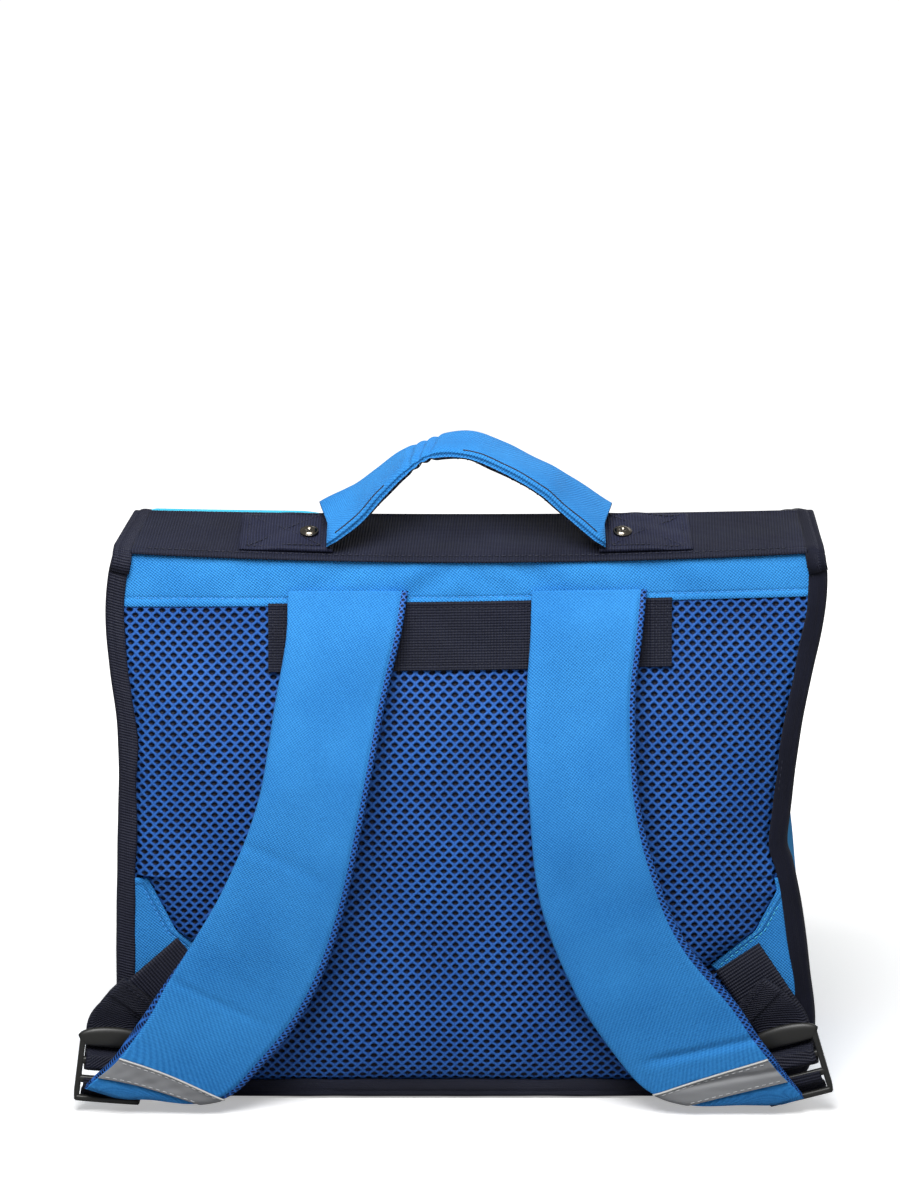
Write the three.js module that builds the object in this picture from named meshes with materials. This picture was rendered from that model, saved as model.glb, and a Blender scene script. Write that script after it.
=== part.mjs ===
// School satchel worn on the back: stiff back and front panels, a boxy gusset between
// them, a flap over the top, a carrying handle and two padded shoulder straps.
// X runs to the right of the strap side, +Y runs from the strap side to the flap side,
// +Z is up, and the origin is on the underside, in the middle.
import * as THREE from 'three';

// Driving sizes in millimetres
const bagWidth = 380;
const backHeight = 296;
const frontHeight = backHeight * 0.899;
const bagDepth = 150;
const clearance = 0.3;
const boardThickness = 4;
const clothWall = 2;
const flapWall = 2.5;
const tapeWall = 1.2;
const webbingWall = 1.6;
const bindingWall = 1.5;
const bindingLip = 10.5;
const bindingInnerLip = 12.5;
const cornerRadius = 28;
const footGap = 0.4;
const foldDrop = 1.4;
const foldSag = 5.5;
const boardDrop = 2.4;
const bandDrop = 2.2;
const gussetUnderFlap = 3;
const gussetRise = 10;
const bandThickness = 1.5;
const wingWall = 1.2;
const meshRim = 1;
const seamStep = 1;
const meshPuff = 10;
const meshRamp = 38;
const meshLowRamp = 75;
const meshTopRamp = 90;
const topWebbingWidth = 45.5;
const flapCornerRadius = 20;
const strapThickness = 9;
const strapStandOff = 35;
const reflectiveWall = 1.2;
const gripSpan = 146;
const gripRise = 41;
const gripWidth = 36;
const gripThickness = 8;
const tabWidth = 38;
const tabLength = 54;
const tabThickness = 3;
const rivetRadius = 5;
const rivetHeight = 2.2;
const rivetFromGrip = 9.75;
const rivetSetBack = 3.5;
const tabOverlap = 8;
const strapTapeWidth = 212;
const strapTapeHeight = 36;
const adjusterWidth = 28;
const adjusterBow = 1;
const tailDrift = 12;
const buckleWidth = 36;
const buckleHeight = 34;
const buckleThickness = 4.5;
const buckleRail = 3;
const buckleBar = 4;
const buckleSlot = 6;
const buckleCorner = 5;
const thumbRise = 7;
const claspWidth = 32;
const claspHeight = 42;
const claspSpread = 220;
const claspWall = 4;
const claspBelowHem = 16;

const halfWidth = bagWidth / 2;
const halfDepth = bagDepth / 2;
const panelEdge = bindingWall + clearance;
const lipOut = clearance + Math.max(bandThickness, meshRim) + clearance;

// How square the rounded sections are: 1 is an ellipse, and smaller is squarer
const gripSquareness = 0.6;
const strapSquareness = 0.5;

// Shares of the gusset's section on each side: its straight wall, then its rounded heel
const gussetWallShare = 0.36;
const gussetHeelShare = 0.09;

// Outline of the back: height as a share of its height, half widths as shares of half its width
const edgeRows = [
  { z: 0.080, left: 0.978, right: 0.993 },
  { z: 0.160, left: 0.989, right: 0.993 },
  { z: 0.270, left: 0.989, right: 0.971 },
  { z: 0.375, left: 0.985, right: 0.946 },
  { z: 0.449, left: 0.981, right: 0.921 },
  { z: 0.480, left: 0.979, right: 0.905 },
  { z: 0.534, left: 0.976, right: 0.911 },
  { z: 0.682, left: 0.972, right: 0.935 },
  { z: 0.804, left: 0.992, right: 0.968 },
  { z: 0.899, left: 1.000, right: 0.995 },
  { z: 0.970, left: 0.990, right: 1.000 },
  { z: 1.020, left: 0.970, right: 0.990 },
];

// Half widths of the gusset half way through the bag, in the same shares
const middleRows = [
  { z: 0.000, left: 0.970, right: 0.968 },
  { z: 0.250, left: 0.975, right: 0.966 },
  { z: 0.500, left: 0.955, right: 0.963 },
  { z: 0.750, left: 0.950, right: 0.945 },
  { z: 1.020, left: 0.930, right: 0.950 },
];

// Half widths of the front, in the same shares
const frontRows = [
  { z: 0.000, left: 0.975, right: 0.975 },
  { z: 0.500, left: 0.968, right: 0.968 },
  { z: 1.020, left: 0.972, right: 0.972 },
];

// Soft dents in the gusset: depth as a share of half the width, y and its reach as shares of half
// the depth, z and its reach as shares of the back's height
const dents = [
  { side: -1, y: -0.25, z: 0.62, depth: 0.024, reachY: 0.45, reachZ: 0.20 },
  { side: -1, y: 0.40, z: 0.30, depth: 0.018, reachY: 0.35, reachZ: 0.14 },
  { side: 1, y: -0.15, z: 0.72, depth: 0.026, reachY: 0.50, reachZ: 0.16 },
  { side: 1, y: 0.45, z: 0.36, depth: 0.018, reachY: 0.35, reachZ: 0.15 },
];

// Path of the flap from the back fold over the top and down the front. y is a share of half the
// depth, z of the back's height, left and right of half the width, and sag of the fold's sag
const flapRows = [
  { at: 0.00, y: -0.939, z: 1.003, left: 0.975, right: 0.990, sag: 1.00 },
  { at: 0.10, y: -0.467, z: 1.054, left: 0.940, right: 0.985, sag: 0.45 },
  { at: 0.19, y: 0.000, z: 1.037, left: 0.955, right: 0.983, sag: 0.40 },
  { at: 0.29, y: 0.520, z: 1.016, left: 0.965, right: 0.980, sag: 0.30 },
  { at: 0.38, y: 0.940, z: 0.976, left: 0.970, right: 0.976, sag: 0.10 },
  { at: 0.44, y: 1.085, z: 0.900, left: 0.972, right: 0.974, sag: 0.00 },
  { at: 0.58, y: 1.110, z: 0.730, left: 0.974, right: 0.974, sag: 0.00 },
  { at: 0.78, y: 1.115, z: 0.500, left: 0.972, right: 0.972, sag: 0.00 },
  { at: 1.00, y: 1.105, z: 0.304, left: 0.970, right: 0.970, sag: 0.00 },
];

// Inner edge of the blue corner patches, height and half width in shares
const wingRows = [
  { z: 0.138, x: 0.925 },
  { z: 0.196, x: 0.800 },
  { z: 0.253, x: 0.690 },
  { z: 0.318, x: 0.815 },
  { z: 0.378, x: 0.862 },
  { z: 0.422, x: 0.896 },
];

// Shoulder straps: both edges in shares of half the width and the back's height, off is how far the
// face stands off the back in shares of the stand-off, thick is in shares of the strap's thickness
const strapRows = {
  left: [
    { at: 0.000, outerX: 0.491, outerZ: 0.942, innerX: 0.160, innerZ: 0.942, off: 0.150, thick: 0.33 },
    { at: 0.077, outerX: 0.494, outerZ: 0.862, innerX: 0.181, innerZ: 0.862, off: 0.443, thick: 0.85 },
    { at: 0.154, outerX: 0.524, outerZ: 0.750, innerX: 0.220, innerZ: 0.756, off: 0.657, thick: 1.00 },
    { at: 0.231, outerX: 0.568, outerZ: 0.586, innerX: 0.263, innerZ: 0.613, off: 0.914, thick: 1.00 },
    { at: 0.385, outerX: 0.660, outerZ: 0.434, innerX: 0.345, innerZ: 0.363, off: 1.000, thick: 1.00 },
    { at: 0.538, outerX: 0.763, outerZ: 0.317, innerX: 0.449, innerZ: 0.195, off: 0.957, thick: 1.00 },
    { at: 0.692, outerX: 0.877, outerZ: 0.207, innerX: 0.608, innerZ: 0.065, off: 0.914, thick: 0.90 },
    { at: 0.769, outerX: 0.929, outerZ: 0.158, innerX: 0.684, innerZ: 0.030, off: 0.900, thick: 0.82 },
    { at: 0.846, outerX: 0.986, outerZ: 0.107, innerX: 0.777, innerZ: 0.021, off: 0.900, thick: 0.70 },
    { at: 0.923, outerX: 1.038, outerZ: 0.074, innerX: 0.883, innerZ: 0.030, off: 0.900, thick: 0.60 },
    { at: 1.000, outerX: 1.072, outerZ: 0.053, innerX: 0.972, innerZ: 0.032, off: 0.900, thick: 0.50 },
  ],
  right: [
    { at: 0.000, outerX: 0.499, outerZ: 0.945, innerX: 0.182, innerZ: 0.942, off: 0.150, thick: 0.33 },
    { at: 0.077, outerX: 0.485, outerZ: 0.867, innerX: 0.178, innerZ: 0.862, off: 0.443, thick: 0.85 },
    { at: 0.154, outerX: 0.466, outerZ: 0.754, innerX: 0.167, innerZ: 0.750, off: 0.657, thick: 1.00 },
    { at: 0.231, outerX: 0.474, outerZ: 0.591, innerX: 0.172, innerZ: 0.604, off: 0.914, thick: 1.00 },
    { at: 0.385, outerX: 0.530, outerZ: 0.443, innerX: 0.206, innerZ: 0.398, off: 1.000, thick: 1.00 },
    { at: 0.538, outerX: 0.611, outerZ: 0.323, innerX: 0.305, innerZ: 0.229, off: 0.957, thick: 1.00 },
    { at: 0.692, outerX: 0.756, outerZ: 0.207, innerX: 0.430, innerZ: 0.102, off: 0.914, thick: 0.90 },
    { at: 0.769, outerX: 0.819, outerZ: 0.145, innerX: 0.514, innerZ: 0.044, off: 0.900, thick: 0.82 },
    { at: 0.846, outerX: 0.879, outerZ: 0.092, innerX: 0.632, innerZ: 0.020, off: 0.900, thick: 0.70 },
    { at: 0.923, outerX: 0.922, outerZ: 0.057, innerX: 0.780, innerZ: 0.021, off: 0.900, thick: 0.60 },
    { at: 1.000, outerX: 0.950, outerZ: 0.034, innerX: 0.878, innerZ: 0.020, off: 0.900, thick: 0.50 },
  ],
};

// Where the reflective tape crosses a strap, in shares along the strap at its two edges
const reflectiveEnds = { topOuter: 0.892, topInner: 0.819, footOuter: 0.985, footInner: 0.877 };

// Handle grip: x in shares of half its span, rise in shares of its rise, tilt of its face in degrees
const gripRows = [
  { x: -1.00, rise: 0.00, tilt: 23 },
  { x: -0.78, rise: 0.26, tilt: 18 },
  { x: -0.62, rise: 0.51, tilt: 11 },
  { x: -0.44, rise: 0.77, tilt: 5 },
  { x: -0.26, rise: 0.95, tilt: 1 },
  { x: 0.00, rise: 1.00, tilt: 7 },
  { x: 0.27, rise: 0.84, tilt: 10 },
  { x: 0.57, rise: 0.55, tilt: 13 },
  { x: 0.72, rise: 0.36, tilt: 18 },
  { x: 1.00, rise: 0.00, tilt: 23 },
];

// Buckles: centre in shares of half the width, the back's height and the stand-off. In degrees, roll
// tips the top towards the bag's middle, lean tips it back and turn brings the outer rail forward
const buckleRows = {
  left: { x: 1.000, z: 0.072, off: 0.550, roll: 7, lean: 8, turn: 12 },
  right: { x: 0.920, z: 0.078, off: 0.580, roll: 16, lean: 12, turn: 14 },
};

// Where the adjuster webbing leaves the back seam, in shares of half the width and height
const adjusterStart = { x: 0.766, z: 0.270, acrossX: 0.778, acrossZ: 0.627 };

const colors = {
  blue: 0x2f86d8,
  cyan: 0x49c8ec,
  mesh: 0x24509a,
  navy: 0x1d2236,
  reflective: 0x84868a,
  plastic: 0x17181b,
  metal: 0x6c6a66,
};

function finish(color, roughness, metalness = 0) {
  return new THREE.MeshStandardMaterial({ color, roughness, metalness });
}

const blueCloth = finish(colors.blue, 0.85);
const cyanCloth = finish(colors.cyan, 0.8);
const airMesh = finish(colors.mesh, 0.9);
const navyTape = finish(colors.navy, 0.85);
const reflectiveTape = finish(colors.reflective, 0.5);
const blackPlastic = finish(colors.plastic, 0.4);
const darkMetal = finish(colors.metal, 0.35, 1);

const part = new THREE.Group();

function addPiece(name, geometry, material) {
  const mesh = new THREE.Mesh(geometry, material);
  mesh.name = name;
  part.add(mesh);
  return mesh;
}

function mix(a, b, t) {
  return a + (b - a) * t;
}

function ease(t) {
  const held = Math.min(Math.max(t, 0), 1);
  return held * held * (3 - 2 * held);
}

// Quarter-round ramp from 0 to 1
function swell(t) {
  const held = Math.min(Math.max(t, 0), 1);
  return Math.sqrt(1 - (1 - held) * (1 - held));
}

// Smooth value of every column of a table at a place along one of its columns
function tableAt(rows, key, at) {
  const last = rows.length - 1;
  const held = Math.min(Math.max(at, rows[0][key]), rows[last][key]);
  let i = 0;
  while (i < last - 1 && held > rows[i + 1][key]) i += 1;
  const span = rows[i + 1][key] - rows[i][key];
  const t = (held - rows[i][key]) / span;
  const value = {};
  for (const name of Object.keys(rows[0])) {
    const slopeAt = (k) => {
      const before = rows[Math.max(k - 1, 0)];
      const after = rows[Math.min(k + 1, last)];
      return (after[name] - before[name]) / (after[key] - before[key]);
    };
    const rise = t * t * (3 - 2 * t);
    const leave = t * (1 - t) * (1 - t);
    const arrive = -t * t * (1 - t);
    value[name] = mix(rows[i][name], rows[i + 1][name], rise)
      + span * (slopeAt(i) * leave + slopeAt(i + 1) * arrive);
  }
  return value;
}

// Geometry from points and triangles, with its faces turned outwards
function closedGeometry(points, index) {
  let volume = 0;
  for (let i = 0; i < index.length; i += 3) {
    const [a, b, c] = [points[index[i]], points[index[i + 1]], points[index[i + 2]]];
    volume += a.dot(b.clone().cross(c));
  }
  if (volume < 0) {
    for (let i = 0; i < index.length; i += 3) {
      [index[i + 1], index[i + 2]] = [index[i + 2], index[i + 1]];
    }
  }
  const geometry = new THREE.BufferGeometry();
  geometry.setFromPoints(points);
  geometry.setIndex(index);
  geometry.computeVertexNormals();
  return geometry;
}

// Closed body between two like grids of points
function shellBetween(near, far) {
  const rows = near.length;
  const columns = near[0].length;
  const points = [...near.flat(), ...far.flat()];
  const index = [];
  const at = (layer, i, j) => (layer * rows + i) * columns + j;
  const quad = (a, b, c, d) => index.push(a, b, c, a, c, d);
  for (let i = 0; i < rows - 1; i += 1) {
    for (let j = 0; j < columns - 1; j += 1) {
      quad(at(0, i, j), at(0, i + 1, j), at(0, i + 1, j + 1), at(0, i, j + 1));
      quad(at(1, i, j), at(1, i, j + 1), at(1, i + 1, j + 1), at(1, i + 1, j));
    }
  }
  for (let i = 0; i < rows - 1; i += 1) {
    const end = columns - 1;
    quad(at(0, i, 0), at(1, i, 0), at(1, i + 1, 0), at(0, i + 1, 0));
    quad(at(0, i, end), at(0, i + 1, end), at(1, i + 1, end), at(1, i, end));
  }
  for (let j = 0; j < columns - 1; j += 1) {
    const end = rows - 1;
    quad(at(0, 0, j), at(0, 0, j + 1), at(1, 0, j + 1), at(1, 0, j));
    quad(at(0, end, j), at(1, end, j), at(1, end, j + 1), at(0, end, j + 1));
  }
  return closedGeometry(points, index);
}

// Closed body through rings of points, with its two ends filled by the section's own triangles
function ringBody(rings, section) {
  const count = section.length;
  const points = rings.flat();
  const index = [];
  for (let i = 0; i < rings.length - 1; i += 1) {
    for (let j = 0; j < count; j += 1) {
      const next = (j + 1) % count;
      const a = i * count + j;
      const b = i * count + next;
      index.push(a, b, b + count, a, b + count, a + count);
    }
  }
  const start = (rings.length - 1) * count;
  const turn = Math.sign(THREE.ShapeUtils.area(section));
  for (const [a, b, c] of THREE.ShapeUtils.triangulateShape(section, [])) {
    const same = Math.sign(THREE.ShapeUtils.area([section[a], section[b], section[c]])) === turn;
    const [d, e] = same ? [b, c] : [c, b];
    index.push(a, e, d);
    index.push(start + a, start + d, start + e);
  }
  return closedGeometry(points, index);
}

// Grid of a surface lifted along its own normal, u across and v along
function liftedGrid(surface, across, along, lift) {
  const step = 0.004;
  const grid = [];
  for (let j = 0; j <= along; j += 1) {
    const line = [];
    for (let i = 0; i <= across; i += 1) {
      const u = i / across;
      const v = j / along;
      const du = surface(Math.min(u + step, 1), v).sub(surface(Math.max(u - step, 0), v));
      const dv = surface(u, Math.min(v + step, 1)).sub(surface(u, Math.max(v - step, 0)));
      const normal = du.cross(dv).normalize();
      line.push(surface(u, v).addScaledVector(normal, lift));
    }
    grid.push(line);
  }
  return grid;
}

function sheetBody(surface, across, along, from, to) {
  return shellBetween(liftedGrid(surface, across, along, from), liftedGrid(surface, across, along, to));
}

// Stiff panel between two planes of Y, from an outline of X and Z
function panelBody(outline, nearY, thickness) {
  const shape = new THREE.Shape(outline.map((p) => new THREE.Vector2(p.x, p.z)));
  const geometry = new THREE.ExtrudeGeometry(shape, { depth: thickness, bevelEnabled: false });
  geometry.rotateX(Math.PI / 2);
  geometry.translate(0, nearY + thickness, 0);
  return geometry;
}

// Height of the fold between the back and the top at a place across the bag
function foldZ(x) {
  return backHeight - foldDrop + foldSag * (x / halfWidth) ** 2;
}

// Height of the seam between the mesh and the band above it
function seamZ(x) {
  const share = x / halfWidth;
  return backHeight * (0.925 + 0.010 * share + 0.005 * share * share);
}

// Half width of an outline at a height, drawn in by an inset and rounded at the foot
function edgeX(rows, side, z, inset) {
  const row = tableAt(rows, 'z', z / backHeight);
  const full = halfWidth * (side < 0 ? row.left : row.right) - inset;
  const radius = cornerRadius - inset;
  const drop = radius - Math.max(z - footGap - inset, 0);
  if (drop <= 0) return side * full;
  return side * (full - radius + Math.sqrt(Math.max(radius * radius - drop * drop, 0)));
}

// Open path round the left side, the foot and the right side, with outward directions
function edgePath(rows, topAt, sideSteps) {
  const points = [];
  const heel = footGap + cornerRadius;
  for (const side of [-1, 1]) {
    const line = [];
    const topZ = topAt(edgeX(rows, side, topAt(halfWidth), 0));
    for (let i = 0; i <= sideSteps; i += 1) {
      const z = mix(topZ, heel, i / sideSteps);
      line.push(new THREE.Vector3(edgeX(rows, side, z, 0), 0, z));
    }
    const centre = edgeX(rows, side, heel, 0) - side * cornerRadius;
    for (let i = 1; i <= 5; i += 1) {
      const angle = (i / 5) * Math.PI / 2;
      const x = centre + side * cornerRadius * Math.cos(angle);
      line.push(new THREE.Vector3(x, 0, heel - cornerRadius * Math.sin(angle)));
    }
    points.push(side < 0 ? line : line.reverse());
  }
  const [left, right] = points;
  const foot = [];
  for (let i = 1; i < 4; i += 1) foot.push(left[left.length - 1].clone().lerp(right[0], i / 4));
  const path = [...left, ...foot, ...right];
  return path.map((point, i) => {
    const before = path[Math.max(i - 1, 0)];
    const after = path[Math.min(i + 1, path.length - 1)];
    const along = after.clone().sub(before).normalize();
    return { point, out: new THREE.Vector3(along.z, 0, -along.x) };
  });
}

function panelOutline(path, inset, topAt) {
  const outline = path.map(({ point, out }) => point.clone().addScaledVector(out, -inset));
  const left = outline[0].x;
  const right = outline[outline.length - 1].x;
  for (let i = 1; i < 8; i += 1) {
    const x = mix(right, left, i / 8);
    outline.push(new THREE.Vector3(x, 0, topAt(x)));
  }
  return outline;
}

// Folded tape round a panel's edge, from its near lip to its far lip
function edgeBinding(path, nearY, farY, nearLip, farLip) {
  const soft = bindingWall * 0.6;
  const near = nearY - bindingWall;
  const far = farY + bindingWall;
  const section = [
    [nearLip, near], [soft, near], [0, near + soft], [0, far - soft], [soft, far],
    [farLip, far], [farLip, farY], [bindingWall, farY], [bindingWall, nearY], [nearLip, nearY],
  ];
  const rings = path.map(({ point, out }) => section.map(([inset, y]) => {
    const place = point.clone().addScaledVector(out, -inset);
    return place.setY(y);
  }));
  return ringBody(rings, section.map(([inset, y]) => new THREE.Vector2(inset, y)));
}

// Back panel
const backFace = -halfDepth;
const boardInside = backFace + boardThickness;
const boardTop = (x) => foldZ(x) - boardDrop;
const backPath = edgePath(edgeRows, boardTop, 14);
addPiece('back_board', panelBody(
  panelOutline(backPath, panelEdge, boardTop), backFace, boardThickness), navyTape);
addPiece('back_binding', edgeBinding(
  backPath, backFace - lipOut, boardInside + clearance, bindingLip, bindingInnerLip), navyTape);

// Half width of the inner edge of a corner patch at a height
function wingX(z) {
  const first = wingRows[0].z * backHeight;
  const last = wingRows[wingRows.length - 1].z * backHeight;
  if (z < first) return halfWidth * wingRows[0].x + (first - z) * 1.5;
  if (z > last) return Infinity;
  const share = z / backHeight;
  let i = 0;
  while (i < wingRows.length - 2 && share > wingRows[i + 1].z) i += 1;
  const t = (share - wingRows[i].z) / (wingRows[i + 1].z - wingRows[i].z);
  return halfWidth * mix(wingRows[i].x, wingRows[i + 1].x, t);
}

// The same edge where the tape's lip runs close to it
function wingEdge(side, z) {
  const lip = Math.abs(edgeX(edgeRows, side, z, bindingLip + clearance));
  return wingX(z) === Infinity ? Infinity : Math.min(wingX(z), lip - 2 * seamStep);
}

// Thickness of the mesh pad: thin under the tape and the patches, swelling away from them,
// steeply above a patch and gently below it
function meshThickness(x, z) {
  const side = x < 0 ? -1 : 1;
  const lip = bindingLip + clearance * 2;
  const fromSide = Math.abs(edgeX(edgeRows, side, z, lip)) - Math.abs(x);
  const fromWing = wingEdge(side, z) - Math.abs(x);
  const fromFoot = z - footGap - lip;
  const below = z < wingRows[2].z * backHeight;
  const wing = below ? ease(fromWing / meshLowRamp) : swell(fromWing / meshRamp);
  const edge = swell(Math.min(fromSide, fromFoot) / meshRamp);
  const fromTop = seamZ(x) - z;
  return meshRim + meshPuff * Math.min(edge, wing) * ease(fromTop / meshTopRamp);
}

function meshFace(x, z) {
  return new THREE.Vector3(x, backFace - clearance - meshThickness(x, z), z);
}

// Heights of the pad's rows: the two at the foot lie under the tape, and six follow the patches
const padRows = [
  ...[0.070, 0.105], ...wingRows.map((row) => row.z),
  ...[0.48, 0.54, 0.60, 0.66, 0.72, 0.78, 0.83, 0.875, 0.90, 0.925],
].map((share) => share * backHeight);

// Places across one row of the pad, with columns on the tape's and the patches' inner edges
function padRow(z, columns) {
  const edges = [-1, 1].map((side) => {
    const outer = Math.abs(edgeX(edgeRows, side, z, panelEdge + clearance));
    const tape = Math.abs(edgeX(edgeRows, side, z, bindingLip + clearance));
    const lip = Math.min(tape, outer - seamStep);
    const wing = Math.min(wingEdge(side, z), lip - seamStep);
    return [outer, lip, wing].map((x) => side * x);
  });
  const places = [...edges[0]];
  for (let i = 1; i < columns; i += 1) places.push(mix(edges[0][2], edges[1][2], i / columns));
  places.push(...edges[1].reverse());
  const follow = ease((z / backHeight - 0.83) / 0.095);
  return places.map((x) => ({ x, z: z + (seamZ(x) - clearance - 0.925 * backHeight) * follow }));
}

function meshPad() {
  const foot = footGap + panelEdge + clearance;
  const lip = footGap + bindingLip + clearance;
  const rows = [foot, lip, ...padRows].map((z) => padRow(z, 18));
  const near = rows.map((row) => row.map(({ x, z }) => meshFace(x, z)));
  const far = rows.map((row) => row.map(({ x, z }) => new THREE.Vector3(x, backFace - clearance, z)));
  return shellBetween(near, far);
}

addPiece('mesh_pad', meshPad(), airMesh);

const topBand = (u, v) => {
  const share = mix(-1, 1, u);
  const side = Math.sign(share) || 1;
  const height = mix(seamZ(side * halfWidth), foldZ(halfWidth), v);
  const x = Math.abs(share) * edgeX(edgeRows, side, height, panelEdge + clearance);
  const z = mix(seamZ(x), foldZ(x) - bandDrop, v);
  return new THREE.Vector3(x, backFace - clearance, z);
};
addPiece('top_band', sheetBody(topBand, 16, 2, 0, bandThickness), blueCloth);

// Blue corner patches, flat against the mesh's thin rim
function cornerWing(side) {
  const rise = (wingRows[wingRows.length - 1].z - wingRows[0].z) * backHeight;
  return (u, v) => {
    const z = wingRows[0].z * backHeight + rise * mix(0.02, 0.98, v);
    const outer = Math.abs(edgeX(edgeRows, side, z, bindingLip + clearance * 2));
    const inner = wingEdge(side, z) + clearance;
    const x = side * (side < 0 ? mix(outer, inner, u) : mix(inner, outer, u));
    return new THREE.Vector3(x, backFace - clearance - meshRim, z);
  };
}

for (const [name, side] of [['left', -1], ['right', 1]]) {
  const body = sheetBody(cornerWing(side), 4, 14, clearance, clearance + wingWall);
  addPiece(`corner_wing_${name}`, body, blueCloth);
}

// Gusset: outer face of the sides and the foot, drawn from the back outline to the front outline
function gussetX(side, y, z) {
  const share = y / halfDepth;
  const back = Math.abs(edgeX(edgeRows, side, z, clothWall));
  const front = Math.abs(edgeX(frontRows, side, z, clothWall));
  const middle = Math.abs(edgeX(middleRows, side, z, 0));
  const ends = share < 0 ? back : front;
  const blend = ease((0.92 - Math.abs(share)) / 0.55);
  let x = mix(ends, middle, blend);
  for (const dent of dents.filter((row) => row.side === side)) {
    const farY = (share - dent.y) / dent.reachY;
    const farZ = (z / backHeight - dent.z) / dent.reachZ;
    x -= halfWidth * dent.depth * Math.exp(-2 * (farY * farY + farZ * farZ)) * blend;
  }
  return side * x;
}

const gussetBack = boardInside + clearance + bindingWall + clearance;
const gussetFront = halfDepth - boardThickness - clearance - bindingWall - clearance;

function flapTopZ(y) {
  const top = flapRows.filter((row) => row.at < 0.4);
  const share = y / halfDepth;
  return backHeight * tableAt(top, 'y', share).z;
}

// Upper edge of the gusset: close under the flap, and easing down to the front panel's corners
function gussetTop(y) {
  const under = flapTopZ(y) - flapWall - gussetUnderFlap;
  return mix(under, frontHeight + gussetRise, ease((y / halfDepth - 0.45) / 0.5));
}

function gussetSurface(u, v) {
  const y = mix(gussetBack, gussetFront, v);
  const heel = cornerRadius;
  const side = u < 0.5 ? -1 : 1;
  const t = Math.min(u, 1 - u);
  if (t <= gussetWallShare) {
    const z = mix(gussetTop(y), heel, t / gussetWallShare);
    return new THREE.Vector3(gussetX(side, y, z), y, z);
  }
  const heelX = gussetX(side, y, heel);
  const centre = heelX - side * heel;
  const heelEnd = gussetWallShare + gussetHeelShare;
  if (t <= heelEnd) {
    const angle = ((t - gussetWallShare) / gussetHeelShare) * Math.PI / 2;
    return new THREE.Vector3(centre + side * heel * Math.cos(angle), y, heel - heel * Math.sin(angle));
  }
  const flat = (t - heelEnd) / (0.5 - heelEnd);
  return new THREE.Vector3(centre * (1 - flat), y, 0);
}

// Places along the gusset's section, closer together round its corners
function gussetStops() {
  const stops = [];
  for (let i = 0; i <= 10; i += 1) stops.push(gussetWallShare * i / 10);
  for (let i = 1; i <= 5; i += 1) stops.push(gussetWallShare + gussetHeelShare * i / 5);
  const mirrored = stops.map((t) => 1 - t).reverse();
  return [...stops, 0.5, ...mirrored];
}

function gussetBody() {
  const stops = gussetStops();
  const along = 10;
  const outer = [];
  const inner = [];
  for (let j = 0; j <= along; j += 1) {
    const line = stops.map((u) => gussetSurface(u, j / along));
    outer.push(line);
    inner.push(line.map((point, i) => {
      const before = line[Math.max(i - 1, 0)];
      const after = line[Math.min(i + 1, line.length - 1)];
      const run = after.clone().sub(before).setY(0).normalize();
      return point.clone().add(new THREE.Vector3(-run.z, 0, run.x).multiplyScalar(clothWall));
    }));
  }
  return shellBetween(outer, inner);
}

addPiece('gusset', gussetBody(), cyanCloth);

// Front panel, hidden by the flap
const frontTop = () => frontHeight;
const frontPath = edgePath(frontRows, frontTop, 8);
const frontInside = halfDepth - boardThickness;
addPiece('front_panel', panelBody(
  panelOutline(frontPath, panelEdge, frontTop), frontInside, boardThickness), cyanCloth);
addPiece('front_binding', edgeBinding(
  frontPath, frontInside - clearance, halfDepth + clearance, bindingInnerLip, bindingLip), navyTape);

// Outer face of the flap, across from -1 to 1 and along from 0 at the fold to 1 at the lower edge
function flapPlace(across, along, inset) {
  const rows = along < flapRows[1].at ? flapRows.slice(0, 2) : flapRows.slice(1);
  const row = tableAt(rows, 'at', along);
  const y = row.y * halfDepth;
  const bottom = flapRows[flapRows.length - 1].z * backHeight + inset;
  const rowZ = row.z * backHeight;
  const z = along > 0.7 ? Math.max(rowZ, bottom) : rowZ;
  const radius = flapCornerRadius - inset;
  const drop = radius - (z - bottom);
  const draw = drop > 0 && along > 0.7 ? radius - Math.sqrt(Math.max(radius * radius - drop * drop, 0)) : 0;
  const left = -row.left * halfWidth + inset + draw;
  const right = row.right * halfWidth - inset - draw;
  const x = mix(left, right, (across + 1) / 2);
  return new THREE.Vector3(x, y, z + row.sag * foldSag * (x / halfWidth) ** 2);
}

// Stops along the flap, closer together at its bends and its lower corners
const flapStops = [
  0, 0.05, 0.10, 0.145, 0.19, 0.24, 0.29, 0.335, 0.365, 0.39, 0.415, 0.44, 0.51, 0.58, 0.68, 0.78,
  0.88, 0.915, 0.945, 0.97, 0.988, 1,
];

function flapNormal(across, along) {
  const step = 0.004;
  const high = Math.min(along + step, 1);
  const low = Math.max(along - step, 0);
  const middle = across * 0.94;
  const du = flapPlace(middle + 0.05, along, 0).sub(flapPlace(middle - 0.05, along, 0));
  const dv = flapPlace(0, high, 0).sub(flapPlace(0, low, 0));
  return du.cross(dv).normalize();
}

function flapGrid(lift, inset, columns) {
  return flapStops.map((along) => {
    const line = [];
    for (let i = 0; i <= columns; i += 1) {
      const across = mix(-1, 1, i / columns);
      const held = Math.min(along, 0.86);
      line.push(flapPlace(across, along, inset).addScaledVector(flapNormal(across, held), lift));
    }
    return line;
  });
}

const flapInset = bindingWall + clearance * 3;
addPiece('flap', shellBetween(flapGrid(0, flapInset, 10), flapGrid(-flapWall, flapInset, 10)), cyanCloth);

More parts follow.
